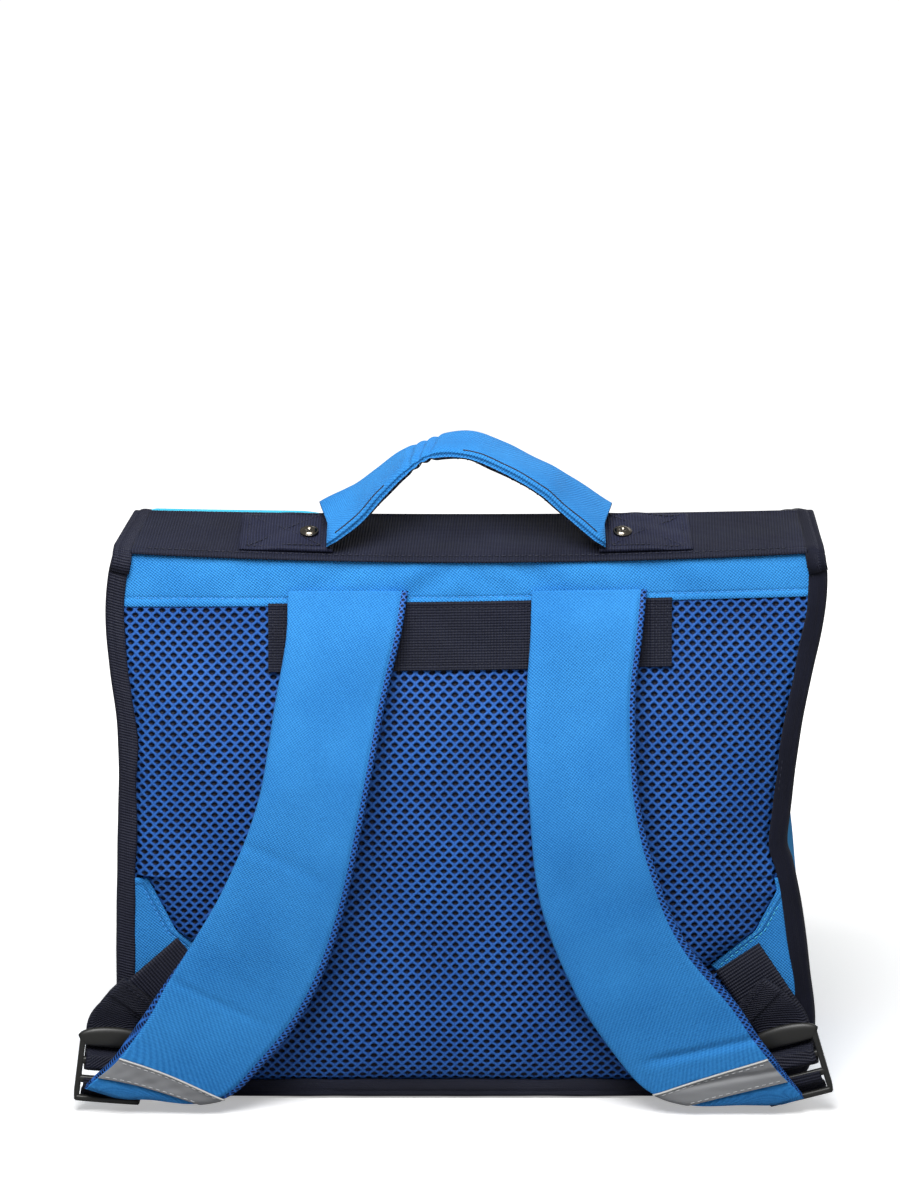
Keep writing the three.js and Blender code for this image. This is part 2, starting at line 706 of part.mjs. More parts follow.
// Tape folded round the flap's two sides and its lower edge
function flapBinding() {
  const stations = [];
  for (const along of flapStops) stations.push([-1, along]);
  for (const across of [-0.5, 0, 0.5]) stations.push([across, 1]);
  for (const along of [...flapStops].reverse()) stations.push([1, along]);
  const places = stations.map(([across, along]) => flapPlace(across, along, 0));
  const over = clearance + tapeWall;
  const under = -flapWall - clearance - tapeWall;
  const section = [
    [bindingLip, over], [0, over], [0, under], [bindingLip, under],
    [bindingLip, under + tapeWall], [bindingWall, under + tapeWall],
    [bindingWall, over - tapeWall], [bindingLip, over - tapeWall],
  ];
  const rings = places.map((place, i) => {
    const [across, along] = stations[i];
    const before = places[Math.max(i - 1, 0)];
    const after = places[Math.min(i + 1, places.length - 1)];
    const run = after.clone().sub(before).normalize();
    const normal = flapNormal(across, Math.min(along, 0.86));
    const inward = run.clone().cross(normal).normalize();
    return section.map(([inset, lift]) => place.clone()
      .addScaledVector(inward, inset).addScaledVector(normal, lift));
  });
  return ringBody(rings, section.map(([inset, lift]) => new THREE.Vector2(inset, lift)));
}

addPiece('flap_binding', flapBinding(), navyTape);

// Surface of the sloping strip between the fold and the ridge: x across the bag, run up the slope
const [foldRow, ridgeRow] = flapRows;
const slopeStart = backFace - clearance * 2 - bandThickness;
const slope = Math.atan2((ridgeRow.z - foldRow.z) * backHeight, (ridgeRow.y - foldRow.y) * halfDepth);

function slopePlace(x, run, lift) {
  const y = slopeStart + run * Math.cos(slope);
  const t = (y / halfDepth - foldRow.y) / (ridgeRow.y - foldRow.y);
  const sag = foldSag * mix(foldRow.sag, ridgeRow.sag, t) * (x / halfWidth) ** 2;
  const z = backHeight * mix(foldRow.z, ridgeRow.z, t) + sag;
  return new THREE.Vector3(x, y - lift * Math.sin(slope), z + lift * Math.cos(slope));
}

function topStrip(u, v) {
  const left = -halfWidth * mix(foldRow.left, ridgeRow.left, v) + bindingLip + seamStep;
  const right = halfWidth * mix(foldRow.right, ridgeRow.right, v) - bindingLip - seamStep;
  const run = mix(seamStep / 2, topWebbingWidth, v);
  return slopePlace(mix(left, right, u), run, clearance * 1.5);
}

addPiece('top_webbing', sheetBody(topStrip, 16, 4, 0, webbingWall), navyTape);

// Handle tabs, grip and rivets
const tabLift = clearance * 2.5 + webbingWall;
const tabTop = tabLift + tabThickness;
const slopeMiddle = topWebbingWidth / 2;

// A cosine or a sine raised to a power, with its sign kept
function squared(value, power) {
  return Math.sign(value) * Math.abs(value) ** power;
}

function gripSection() {
  const section = [];
  const sides = 14;
  for (let i = 0; i < sides; i += 1) {
    const angle = (i / sides) * Math.PI * 2;
    const across = squared(Math.cos(angle), gripSquareness) * gripWidth / 2;
    const out = squared(Math.sin(angle), gripSquareness) * gripThickness / 2;
    section.push(new THREE.Vector2(across, out));
  }
  return section;
}

function gripBody() {
  const start = slopePlace(gripSpan / 2, slopeMiddle, tabTop + clearance + gripThickness / 2);
  const stations = [];
  for (let i = 0; i <= 22; i += 1) {
    const row = tableAt(gripRows, 'x', mix(-1, 1, i / 22));
    const centre = new THREE.Vector3(row.x * gripSpan / 2, start.y, start.z + row.rise * gripRise);
    stations.push({ centre, tilt: THREE.MathUtils.degToRad(row.tilt) });
  }
  const last = stations.length - 1;
  const section = gripSection();
  const rings = stations.map(({ centre, tilt }, i) => {
    const level = i === 0 || i === last;
    const run = level
      ? new THREE.Vector3(1, 0, 0)
      : stations[i + 1].centre.clone().sub(stations[i - 1].centre).normalize();
    const across = new THREE.Vector3(0, Math.cos(tilt), Math.sin(tilt));
    const out = run.clone().cross(across).normalize();
    const side = out.clone().cross(run).normalize();
    return section.map((p) => centre.clone()
      .addScaledVector(side, p.x).addScaledVector(out, p.y));
  });
  return ringBody(rings, section);
}

addPiece('handle_grip', gripBody(), blueCloth);

for (const [name, side] of [['left', -1], ['right', 1]]) {
  const near = gripSpan / 2 - tabOverlap;
  const tab = (u, v) => {
    const from = side * near;
    const to = side * (near + tabLength);
    const x = side < 0 ? mix(to, from, u) : mix(from, to, u);
    return slopePlace(x, slopeMiddle + mix(-0.5, 0.5, v) * tabWidth, tabLift);
  };
  addPiece(`handle_tab_${name}`, sheetBody(tab, 4, 3, 0, tabThickness), navyTape);

  const profile = [
    [0, 0], [rivetRadius, 0], [rivetRadius, rivetHeight * 0.35],
    [rivetRadius * 0.72, rivetHeight * 0.85], [0, rivetHeight],
  ];
  const dome = new THREE.LatheGeometry(profile.map(([r, h]) => new THREE.Vector2(r, h)), 16);
  const rivet = addPiece(`rivet_${name}`, dome, darkMetal);
  const lift = tabTop + clearance * 1.5;
  const x = side * (gripSpan / 2 + rivetFromGrip);
  rivet.position.copy(slopePlace(x, slopeMiddle - rivetSetBack, lift));
  rivet.rotation.x = Math.PI / 2 + slope;
}

// Tape across the back behind the upper ends of the straps
const strapTape = (u, v) => {
  const x = mix(-0.49, 0.51, u) * strapTapeWidth;
  const z = seamZ(x) - clearance * 2 - strapTapeHeight * (1 - v);
  return meshFace(x, z);
};
addPiece('strap_tape', sheetBody(strapTape, 8, 4, clearance, clearance + tapeWall), navyTape);

// Frame of a shoulder strap at a place along it
function strapFrame(side, at) {
  const rows = side < 0 ? strapRows.left : strapRows.right;
  const place = (t) => {
    const row = tableAt(rows, 'at', t);
    const outer = new THREE.Vector3(side * row.outerX * halfWidth, 0, row.outerZ * backHeight);
    const inner = new THREE.Vector3(side * row.innerX * halfWidth, 0, row.innerZ * backHeight);
    const thick = row.thick * strapThickness;
    const y = backFace - row.off * strapStandOff + thick / 2;
    return { outer: outer.setY(y), inner: inner.setY(y), thick };
  };
  const here = place(at);
  const middle = (edge) => edge.outer.clone().lerp(edge.inner, 0.5);
  const run = middle(place(Math.min(at + 0.01, 1))).sub(middle(place(Math.max(at - 0.01, 0)))).normalize();
  const across = here.outer.clone().sub(here.inner);
  const width = across.length();
  across.normalize();
  const out = run.clone().cross(across).normalize();
  if (out.y > 0) out.negate();
  return { centre: middle(here), across, out, width, thick: here.thick };
}

// Point on a strap's rounded section: angle 0 at its outer edge, 90 degrees on its face
function strapPoint(side, at, angle, grow) {
  const frame = strapFrame(side, at);
  const across = squared(Math.cos(angle), strapSquareness) * (frame.width / 2 + grow);
  const out = squared(Math.sin(angle), strapSquareness) * (frame.thick / 2 + grow);
  return frame.centre.clone().addScaledVector(frame.across, across).addScaledVector(frame.out, out);
}

function strapBody(side) {
  const sides = 14;
  const rings = [];
  const stops = 24;
  for (let i = 0; i <= stops; i += 1) {
    const ring = [];
    for (let j = 0; j < sides; j += 1) ring.push(strapPoint(side, i / stops, (j / sides) * Math.PI * 2, 0));
    rings.push(ring);
  }
  const section = rings[0].map((_, j) => {
    const angle = (j / sides) * Math.PI * 2;
    return new THREE.Vector2(Math.cos(angle), Math.sin(angle));
  });
  return ringBody(rings, section);
}

function reflectiveBody(side) {
  const layer = (grow) => {
    const grid = [];
    for (let j = 0; j <= 3; j += 1) {
      const line = [];
      for (let i = 0; i <= 10; i += 1) {
        const u = i / 10;
        const share = 0.5 - 0.5 * Math.cos(Math.PI * u);
        const top = mix(reflectiveEnds.topOuter, reflectiveEnds.topInner, share);
        const foot = mix(reflectiveEnds.footOuter, reflectiveEnds.footInner, share);
        const angle = mix(0.06, 0.94, u) * Math.PI;
        line.push(strapPoint(side, mix(top, foot, j / 3), angle, grow));
      }
      grid.push(line);
    }
    return grid;
  };
  return shellBetween(layer(clearance + reflectiveWall), layer(clearance));
}

for (const [name, side] of [['left', -1], ['right', 1]]) {
  addPiece(`shoulder_strap_${name}`, strapBody(side), blueCloth);
  addPiece(`reflective_band_${name}`, reflectiveBody(side), reflectiveTape);
}

// Ladder buckle: frame with two webbing slots, a tab slot and a raised thumb edge
const slotWidth = buckleWidth - 2 * buckleRail;
const upperSlot = buckleHeight / 2 - buckleBar - buckleSlot;
const middleSlot = upperSlot - buckleBar - buckleSlot;
const lowerSlot = middleSlot - buckleBar - buckleSlot;

// Place of a buckle: its own x runs along its width, y up its length and z out of its face
function buckleFrame(name, side) {
  const row = buckleRows[name];
  const [roll, lean, turn] = [row.roll, row.lean, row.turn].map(THREE.MathUtils.degToRad);
  const up = new THREE.Vector3(0, Math.sin(lean), Math.cos(lean)).multiplyScalar(Math.cos(roll));
  up.x = -side * Math.sin(roll);
  const across = new THREE.Vector3(Math.cos(turn), -side * Math.sin(turn), 0);
  across.addScaledVector(up, -across.dot(up)).normalize();
  const basis = new THREE.Matrix4().makeBasis(across, up, across.clone().cross(up));
  const frame = new THREE.Object3D();
  frame.quaternion.setFromRotationMatrix(basis);
  frame.position.set(side * row.x * halfWidth, backFace - row.off * strapStandOff, row.z * backHeight);
  frame.updateMatrix();
  return frame;
}

function buckleBody() {
  const w = buckleWidth / 2;
  const h = buckleHeight / 2;
  const shape = new THREE.Shape();
  shape.moveTo(-w + buckleCorner, -h);
  shape.lineTo(w - buckleCorner, -h);
  shape.quadraticCurveTo(w, -h, w, -h + buckleCorner);
  shape.lineTo(w, h - buckleCorner);
  shape.bezierCurveTo(w, h, w * 0.6, h + thumbRise, 0, h + thumbRise);
  shape.bezierCurveTo(-w * 0.6, h + thumbRise, -w, h, -w, h - buckleCorner);
  shape.lineTo(-w, -h + buckleCorner);
  shape.quadraticCurveTo(-w, -h, -w + buckleCorner, -h);
  for (const foot of [upperSlot, middleSlot, lowerSlot]) {
    const slot = new THREE.Path();
    slot.moveTo(-slotWidth / 2, foot);
    slot.lineTo(-slotWidth / 2, foot + buckleSlot);
    slot.lineTo(slotWidth / 2, foot + buckleSlot);
    slot.lineTo(slotWidth / 2, foot);
    slot.closePath();
    shape.holes.push(slot);
  }
  const geometry = new THREE.ExtrudeGeometry(shape, {
    depth: buckleThickness, bevelEnabled: false, curveSegments: 6,
  });
  geometry.translate(0, 0, -buckleThickness / 2);
  return geometry;
}

// Flat webbing along a path of centres, with a width direction at each of them
function webbingBody(stations, width, wall) {
  const section = [[-1, -1], [1, -1], [1, 1], [-1, 1]];
  const rings = stations.map(({ centre, across }, i) => {
    const before = stations[Math.max(i - 1, 0)].centre;
    const after = stations[Math.min(i + 1, stations.length - 1)].centre;
    const run = after.clone().sub(before).normalize();
    const out = run.clone().cross(across).normalize();
    const side = out.clone().cross(run).normalize();
    return section.map(([a, b]) => centre.clone()
      .addScaledVector(side, a * width / 2).addScaledVector(out, b * wall / 2));
  });
  return ringBody(rings, section.map(([a, b]) => new THREE.Vector2(a, b)));
}

for (const [name, side] of [['left', -1], ['right', 1]]) {
  const frame = buckleFrame(name, side);
  const buckle = addPiece(`ladder_buckle_${name}`, buckleBody(), blackPlastic);
  buckle.position.copy(frame.position);
  buckle.rotation.copy(frame.rotation);

  const inBuckle = (along, depth) => new THREE.Vector3(0, along, -depth).applyMatrix4(frame.matrix);
  const buckleAcross = new THREE.Vector3(1, 0, 0).transformDirection(frame.matrix);
  const seam = new THREE.Vector3(
    side * adjusterStart.x * halfWidth,
    backFace - meshRim - wingWall - webbingWall / 2 - clearance * 5,
    adjusterStart.z * backHeight,
  );
  const seamAcross = new THREE.Vector3(adjusterStart.acrossX, 0, side * adjusterStart.acrossZ);
  const upper = upperSlot + buckleSlot / 2;
  const middle = middleSlot + buckleSlot / 2;
  const lower = lowerSlot + buckleSlot / 2;
  const skin = buckleThickness / 2 + clearance + webbingWall / 2;
  const loop = [
    { from: upper, slots: 2.333, depth: 2.10 },
    { from: upper, slots: 0.500, depth: 1.90 },
    { from: middle, slots: 0.833, depth: 1.60 },
    { from: middle, slots: 0.250, depth: 1.08 },
    { from: middle, slots: 0.033, depth: 0.30 },
    { from: middle, slots: 0.133, depth: -0.30 },
    { from: middle, slots: 0.333, depth: -1.03 },
    { from: middle, slots: 0.833, depth: -1.08 },
    { from: upper, slots: -0.333, depth: -1.03 },
    { from: upper, slots: -0.133, depth: -0.30 },
    { from: upper, slots: 0.067, depth: 0.30 },
    { from: upper, slots: 0.333, depth: 1.00 },
    { from: upper, slots: 1.000, depth: 1.08 },
    { from: upper, slots: 2.333, depth: 1.05 },
    { from: upper, slots: 3.900, depth: 0.00, drift: 0.35 },
    { from: upper, slots: 5.667, depth: -1.20, drift: 1.00 },
  ];
  // slots are along the buckle in shares of a slot, depth is in shares of the skin, and drift
  // leads the webbing's free end towards the bag's middle
  const stationAt = ({ from, slots, depth, drift = 0 }) => ({
    centre: inBuckle(from + slots * buckleSlot, depth * skin)
      .addScaledVector(buckleAcross, -side * drift * tailDrift),
    across: buckleAcross,
  });
  const entry = stationAt(loop[0]).centre;
  const stations = [0, 0.12, 0.35, 0.65].map((t) => ({
    centre: seam.clone().lerp(entry, t).add(new THREE.Vector3(0, -adjusterBow * Math.sin(Math.PI * t), 0)),
    across: seamAcross.clone().lerp(buckleAcross, t).normalize(),
  }));
  stations.push(...loop.map(stationAt));
  addPiece(`adjuster_webbing_${name}`, webbingBody(stations, adjusterWidth, webbingWall), navyTape);

  const tabPath = [
    { from: lower, slots: 1.000, depth: -1.25 },
    { from: lower, slots: 0.250, depth: -0.85 },
    { from: lower, slots: 0.000, depth: 0.00 },
    { from: lower, slots: -0.267, depth: 0.98 },
    { from: lower, slots: -1.000, depth: 1.10 },
  ];
  const tab = webbingBody(tabPath.map(stationAt), adjusterWidth, webbingWall);
  addPiece(`buckle_tab_${name}`, tab, navyTape);
}

// Plain closures that hold the flap's lower edge to the front panel
const flapFoot = flapRows[flapRows.length - 1];
for (const [name, side] of [['left', -1], ['right', 1]]) {
  const panelFace = halfDepth + clearance;
  const bindingFace = flapFoot.y * halfDepth + tapeWall + clearance * 3;
  const outerFace = bindingFace + claspWall;
  const hem = flapFoot.z * backHeight - clearance * 2;
  const low = hem - claspBelowHem;
  const high = low + claspHeight;
  const outline = [
    [panelFace, low], [outerFace, low], [outerFace, high],
    [bindingFace, high], [bindingFace, hem], [panelFace, hem],
  ];
  const shape = new THREE.Shape(outline.map(([y, z]) => new THREE.Vector2(y, z)));
  const geometry = new THREE.ExtrudeGeometry(shape, { depth: claspWidth, bevelEnabled: false });
  const clasp = addPiece(`clasp_${name}`, geometry, blackPlastic);
  clasp.rotation.set(Math.PI / 2, Math.PI / 2, 0);
  clasp.position.set(side * claspSpread / 2 - claspWidth / 2, 0, 0);
}

export default part;
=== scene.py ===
# School satchel seen from its strap side. Lengths are in millimetres until a mesh is made.
# X runs right as the camera sees it, -Y is towards the camera, Z is up from the floor.
import math

import bpy
import numpy as np
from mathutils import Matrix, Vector


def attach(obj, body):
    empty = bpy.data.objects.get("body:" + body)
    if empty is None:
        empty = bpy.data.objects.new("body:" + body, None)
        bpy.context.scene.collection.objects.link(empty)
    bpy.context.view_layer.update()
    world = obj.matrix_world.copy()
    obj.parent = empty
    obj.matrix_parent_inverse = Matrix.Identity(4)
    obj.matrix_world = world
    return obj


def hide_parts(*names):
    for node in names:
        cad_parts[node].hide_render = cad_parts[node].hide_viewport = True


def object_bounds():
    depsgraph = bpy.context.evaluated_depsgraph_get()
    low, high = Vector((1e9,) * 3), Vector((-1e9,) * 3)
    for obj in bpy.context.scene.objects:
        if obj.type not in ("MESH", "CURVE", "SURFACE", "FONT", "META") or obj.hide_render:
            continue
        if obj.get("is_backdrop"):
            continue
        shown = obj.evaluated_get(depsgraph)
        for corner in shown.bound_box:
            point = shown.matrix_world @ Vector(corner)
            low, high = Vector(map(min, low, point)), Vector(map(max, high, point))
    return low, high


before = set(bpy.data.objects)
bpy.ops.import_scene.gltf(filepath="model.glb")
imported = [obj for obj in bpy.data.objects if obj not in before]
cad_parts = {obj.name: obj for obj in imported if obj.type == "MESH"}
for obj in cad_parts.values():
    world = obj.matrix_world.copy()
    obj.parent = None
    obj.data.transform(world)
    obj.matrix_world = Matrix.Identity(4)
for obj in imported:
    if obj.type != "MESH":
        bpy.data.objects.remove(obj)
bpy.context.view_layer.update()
metres = 0.001
left, right = -1, 1
sides = (("left", left), ("right", right))

# Sizes that the pieces share
bag = {
    "halfWidth": 190.0, "halfDepth": 75.0, "backHeight": 296.0, "frontHeight": 266.1,
    "gap": 0.3, "corner": 28.0, "footGap": 0.4, "board": 4.0, "cloth": 2.0,
    "foldDrop": 1.4, "foldSag": 5.5, "lip": 10.5, "innerLip": 12.5, "tape": 1.5,
}
halfWidth, halfDepth, backHeight = bag["halfWidth"], bag["halfDepth"], bag["backHeight"]
gap = bag["gap"]
backFace = -halfDepth

# Half widths at shares of the back's height: height, left, right, in shares of halfWidth
edgeRows = np.array([
    (0.080, 0.978, 0.993), (0.160, 0.989, 0.993), (0.270, 0.989, 0.971), (0.375, 0.985, 0.946),
    (0.449, 0.981, 0.921), (0.480, 0.979, 0.905), (0.534, 0.976, 0.911), (0.682, 0.972, 0.935),
    (0.804, 0.992, 0.968), (0.899, 1.000, 0.995), (0.970, 0.990, 1.000), (1.020, 0.970, 0.990),
])
middleRows = np.array([
    (0.00, 0.970, 0.968), (0.25, 0.975, 0.966), (0.50, 0.955, 0.963), (0.75, 0.950, 0.945),
    (1.02, 0.930, 0.950),
])
frontRows = np.array([(0.00, 0.975, 0.975), (0.50, 0.968, 0.968), (1.02, 0.972, 0.972)])

# Flap from the back fold over the top and down: share along, y, z, left, right, sag
flapRows = np.array([
    (0.00, -0.939, 1.003, 0.975, 0.990, 1.00), (0.10, -0.467, 1.054, 0.940, 0.985, 0.45),
    (0.19, 0.000, 1.037, 0.955, 0.983, 0.40), (0.29, 0.520, 1.016, 0.965, 0.980, 0.30),
    (0.38, 0.940, 0.976, 0.970, 0.976, 0.10), (0.44, 1.085, 0.900, 0.972, 0.974, 0.00),
    (0.58, 1.110, 0.730, 0.974, 0.974, 0.00), (0.78, 1.115, 0.500, 0.972, 0.972, 0.00),
    (1.00, 1.105, 0.304, 0.970, 0.970, 0.00),
])

# Inner edge of the corner patches: height and half width in shares
wingRows = np.array([
    (0.138, 0.925), (0.196, 0.800), (0.253, 0.690), (0.318, 0.815), (0.378, 0.862), (0.422, 0.896),
])

# Shoulder straps: share along, outer x and z, inner x and z, stand-off, thickness, all in shares
strapRows = {
    left: np.array([
        (0.000, 0.491, 0.942, 0.160, 0.942, 0.150, 0.33), (0.077, 0.494, 0.862, 0.181, 0.862, 0.443, 0.85),
        (0.154, 0.524, 0.750, 0.220, 0.756, 0.657, 1.00), (0.231, 0.568, 0.586, 0.263, 0.613, 0.914, 1.00),
        (0.385, 0.660, 0.434, 0.345, 0.363, 1.000, 1.00), (0.538, 0.763, 0.317, 0.449, 0.195, 0.957, 1.00),
        (0.692, 0.877, 0.207, 0.608, 0.065, 0.914, 0.90), (0.769, 0.929, 0.158, 0.684, 0.030, 0.900, 0.82),
        (0.846, 0.986, 0.107, 0.777, 0.021, 0.900, 0.70), (0.923, 1.038, 0.074, 0.883, 0.030, 0.900, 0.60),
        (1.000, 1.072, 0.053, 0.972, 0.032, 0.900, 0.50),
    ]),
    right: np.array([
        (0.000, 0.499, 0.945, 0.182, 0.942, 0.150, 0.33), (0.077, 0.485, 0.867, 0.178, 0.862, 0.443, 0.85),
        (0.154, 0.466, 0.754, 0.167, 0.750, 0.657, 1.00), (0.231, 0.474, 0.591, 0.172, 0.604, 0.914, 1.00),
        (0.385, 0.530, 0.443, 0.206, 0.398, 1.000, 1.00), (0.538, 0.611, 0.323, 0.305, 0.229, 0.957, 1.00),
        (0.692, 0.756, 0.207, 0.430, 0.102, 0.914, 0.90), (0.769, 0.819, 0.145, 0.514, 0.044, 0.900, 0.82),
        (0.846, 0.879, 0.092, 0.632, 0.020, 0.900, 0.70), (0.923, 0.922, 0.057, 0.780, 0.021, 0.900, 0.60),
        (1.000, 0.950, 0.034, 0.878, 0.020, 0.900, 0.50),
    ]),
}
strap = {"thickness": 9.0, "standOff": 35.0, "squareness": 0.5, "tip": 0.965,
         "rows": 330, "face": 74, "back": 74}


# Straight blend of a and b
def mix(a, b, t):
    return a + (b - a) * t


# Smooth step: 3t^2 - 2t^3 of t held to 0..1
def ease(t):
    t = np.clip(t, 0, 1)
    return t * t * (3 - 2 * t)


# Quarter-round ramp: sqrt(1 - (1-t)^2)
def swell(t):
    t = np.clip(t, 0, 1)
    return np.sqrt(1 - (1 - t) ** 2)


# Cosine or sine raised to a power with its sign kept, which squares a round section
def squared(value, power):
    return np.sign(value) * np.abs(value) ** power


# Bell round a middle: e to the power -((x - middle) / reach)^2
def bell(x, middle, reach):
    return np.exp(-((x - middle) / reach) ** 2)


# Unit vectors along the last axis
def unit(vectors):
    return vectors / np.maximum(np.linalg.norm(vectors, axis=-1, keepdims=True), 1e-9)


# Distance run along a path, from 0 at its first point
def runAlong(path):
    return np.concatenate([[0], np.cumsum(np.linalg.norm(np.diff(path, axis=0), axis=1))])


# Even steps between stops, with a number of points for each stretch
def stretched(stops, counts):
    parts = [np.linspace(*ends, count)[1:] for *ends, count in zip(stops[:-1], stops[1:], counts)]
    return np.concatenate([[stops[0]], *parts])


# Shares 0 to 1 down the rows and across the columns of a grid, as a column and a row
def shareGrid(rows, columns):
    return np.linspace(0, 1, rows)[:, None], np.linspace(0, 1, columns)[None, :]


# Cubic through a table's rows, its slopes taken from the rows on both sides
def tableAt(rows, at):
    key, values = rows[:, 0], rows[:, 1:]
    at = np.clip(np.asarray(at, float), key[0], key[-1])
    i = np.clip(np.searchsorted(key, at, side="right") - 1, 0, len(key) - 2)
    before = np.maximum(np.arange(len(key)) - 1, 0)
    after = np.minimum(np.arange(len(key)) + 1, len(key) - 1)
    slope = (values[after] - values[before]) / (key[after] - key[before])[:, None]
    span = (key[i + 1] - key[i])[..., None]
    t = (at - key[i])[..., None] / span
    rise = t * t * (3 - 2 * t)
    return (mix(values[i], values[i + 1], rise)
            + span * (slope[i] * t * (1 - t) ** 2 - slope[i + 1] * t * t * (1 - t)))


# Sum of plane waves with seeded headings, lengths and phases, about -1 to 1
def softNoise(a, b, size, seed, waves=9):
    draw = np.random.default_rng(seed)
    total = 0
    for heading, stretch, phase in zip(draw.uniform(0, math.pi, waves),
                                       draw.uniform(0.6, 1.7, waves),
                                       draw.uniform(0, 2 * math.pi, waves)):
        along = a * math.cos(heading) + b * math.sin(heading)
        total = total + np.sin(2 * math.pi * along / (size * stretch) + phase)
    return total / math.sqrt(waves)


# Distances run across and along a grid of points, as the cloth's own coordinates
def clothUv(points):
    across = np.linalg.norm(np.diff(points, axis=1), axis=2)
    along = np.linalg.norm(np.diff(points, axis=0), axis=2)
    u = np.pad(np.cumsum(across, 1), ((0, 0), (1, 0)))
    v = np.pad(np.cumsum(along, 0), ((1, 0), (0, 0)))
    return np.stack([u - u[:, [u.shape[1] // 2]], v], -1)


# Normals of a grid: cross product of its two directions
def gridNormals(points):
    return unit(np.cross(np.gradient(points, axis=1), np.gradient(points, axis=0)))


# Quads of a grid of rows and columns, with the corners of their own coordinates
def gridQuads(rows, columns, closed=False):
    wide = columns + 1 if closed else columns
    i, j = np.meshgrid(np.arange(rows - 1), np.arange(wide - 1), indexing="ij")
    steps = ((0, 0), (0, 1), (1, 1), (1, 0))
    quads = [(i + a) * columns + (j + b) % columns for a, b in steps]
    corners = [(i + a) * wide + (j + b) for a, b in steps]
    return np.stack(quads, -1).reshape(-1, 4), np.stack(corners, -1).reshape(-1, 4)


# Indices round the rim of a grid
def gridRim(rows, columns):
    place = np.arange(rows * columns).reshape(rows, columns)
    return np.concatenate([place[0, :-1], place[:-1, -1], place[-1, :0:-1], place[:0:-1, 0]])


# Six times the volume inside quads, as the sum of a.(b x c) + a.(c x d)
def quadVolume(points, quads):
    a, b, c, d = (points[quads[:, k]] for k in range(4))
    return np.einsum("ij,ij->", a, np.cross(b, c)) + np.einsum("ij,ij->", a, np.cross(c, d))


# Mesh object from points in millimetres, its faces turned outwards by the sign of their volume
def makePiece(name, points, quads, quadUv, caps, finish, cover=None, kind=None):
    faces = quads.tolist() + [list(map(int, cap)) for cap, _ in caps]
    uv = [quadUv.reshape(-1, 2)] + [np.asarray(capUv, float).reshape(-1, 2) for _, capUv in caps]
    uv = np.concatenate(uv)
    volume = quadVolume(points, quads)
    for cap, _ in caps:
        ring = points[np.asarray(cap)]
        volume += np.einsum("ij,ij->", ring[[0] * (len(ring) - 2)], np.cross(ring[1:-1], ring[2:]))
    mesh = bpy.data.meshes.new(name)
    mesh.from_pydata((points * metres).tolist(), [], faces)
    mesh.uv_layers.new(name="cloth").data.foreach_set("uv", uv.ravel().astype(np.float32))
    for material in finish if isinstance(finish, (list, tuple)) else [finish]:
        mesh.materials.append(material)
    if kind is not None:
        index = np.zeros(len(faces), np.int32)
        index[:len(kind)] = kind
        mesh.polygons.foreach_set("material_index", index)
    mesh.polygons.foreach_set("use_smooth", np.full(len(faces), True))
    if volume < 0:
        mesh.flip_normals()
    mesh.validate()
    piece = bpy.data.objects.new(name, mesh)
    bpy.context.scene.collection.objects.link(piece)
    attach(piece, "root")
    if cover:
        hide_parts(*([cover] if isinstance(cover, str) else cover))
    return piece


# Closed sheet between two like grids, joined round their rims
def sheetPiece(name, near, far, finish, cover=None, uv=None):
    rows, columns = near.shape[:2]
    uv = (clothUv(near) if uv is None else uv).reshape(-1, 2)
    count = rows * columns
    front, _ = gridQuads(rows, columns)
    rim = gridRim(rows, columns)
    ahead = np.roll(rim, -1)
    side = np.stack([ahead, rim, rim + count, ahead + count], -1)
    quads = np.concatenate([front, front[:, ::-1] + count, side])
    points = np.concatenate([near.reshape(-1, 3), far.reshape(-1, 3)])
    return makePiece(name, points, quads, uv[quads % count], [], finish, cover)


# Pad with a modelled face and one flat back at a plane of Y
def padPiece(name, near, planeY, finish, cover=None, uv=None):
    rows, columns = near.shape[:2]
    uv = (clothUv(near) if uv is None else uv).reshape(-1, 2)
    count = rows * columns
    front, _ = gridQuads(rows, columns)
    rim = gridRim(rows, columns)
    foot = near.reshape(-1, 3)[rim].copy()
    foot[:, 1] = planeY
    below = count + np.arange(len(rim))
    side = np.stack([np.roll(rim, -1), rim, below, np.roll(below, -1)], -1)
    points = np.concatenate([near.reshape(-1, 3), foot])
    allUv = np.concatenate([uv, uv[rim]])
    quads = np.concatenate([front, side])
    cap = (below[::-1], uv[rim][::-1])
    return makePiece(name, points, quads, allUv[quads], [cap], finish, cover)


# Closed body through rings of points, rings by sides by 3, with flat caps
def sweptPiece(name, rings, finish, cover=None, kind=None):
    count, around = rings.shape[:2]
    looped = np.concatenate([rings, rings[:, :1]], 1)
    uv = clothUv(looped).reshape(-1, 2)
    quads, corners = gridQuads(count, around, closed=True)
    first, last = np.arange(around), (count - 1) * around + np.arange(around)
    caps = [(first[::-1], uv[:around][::-1]), (last, uv[(count - 1) * (around + 1):][:around])]
    kinds = None if kind is None else np.broadcast_to(kind, (count - 1, around)).ravel()
    points = rings.reshape(-1, 3)
    return makePiece(name, points, quads, uv[corners], caps, finish, cover, kinds)


# Unit circles in the planes of two directions, a row for each pair
def roundRing(up, side, count):
    turn = np.arange(count) * 2 * math.pi / count
    return up[:, None] * np.sin(turn)[:, None] + side[:, None] * np.cos(turn)[:, None]


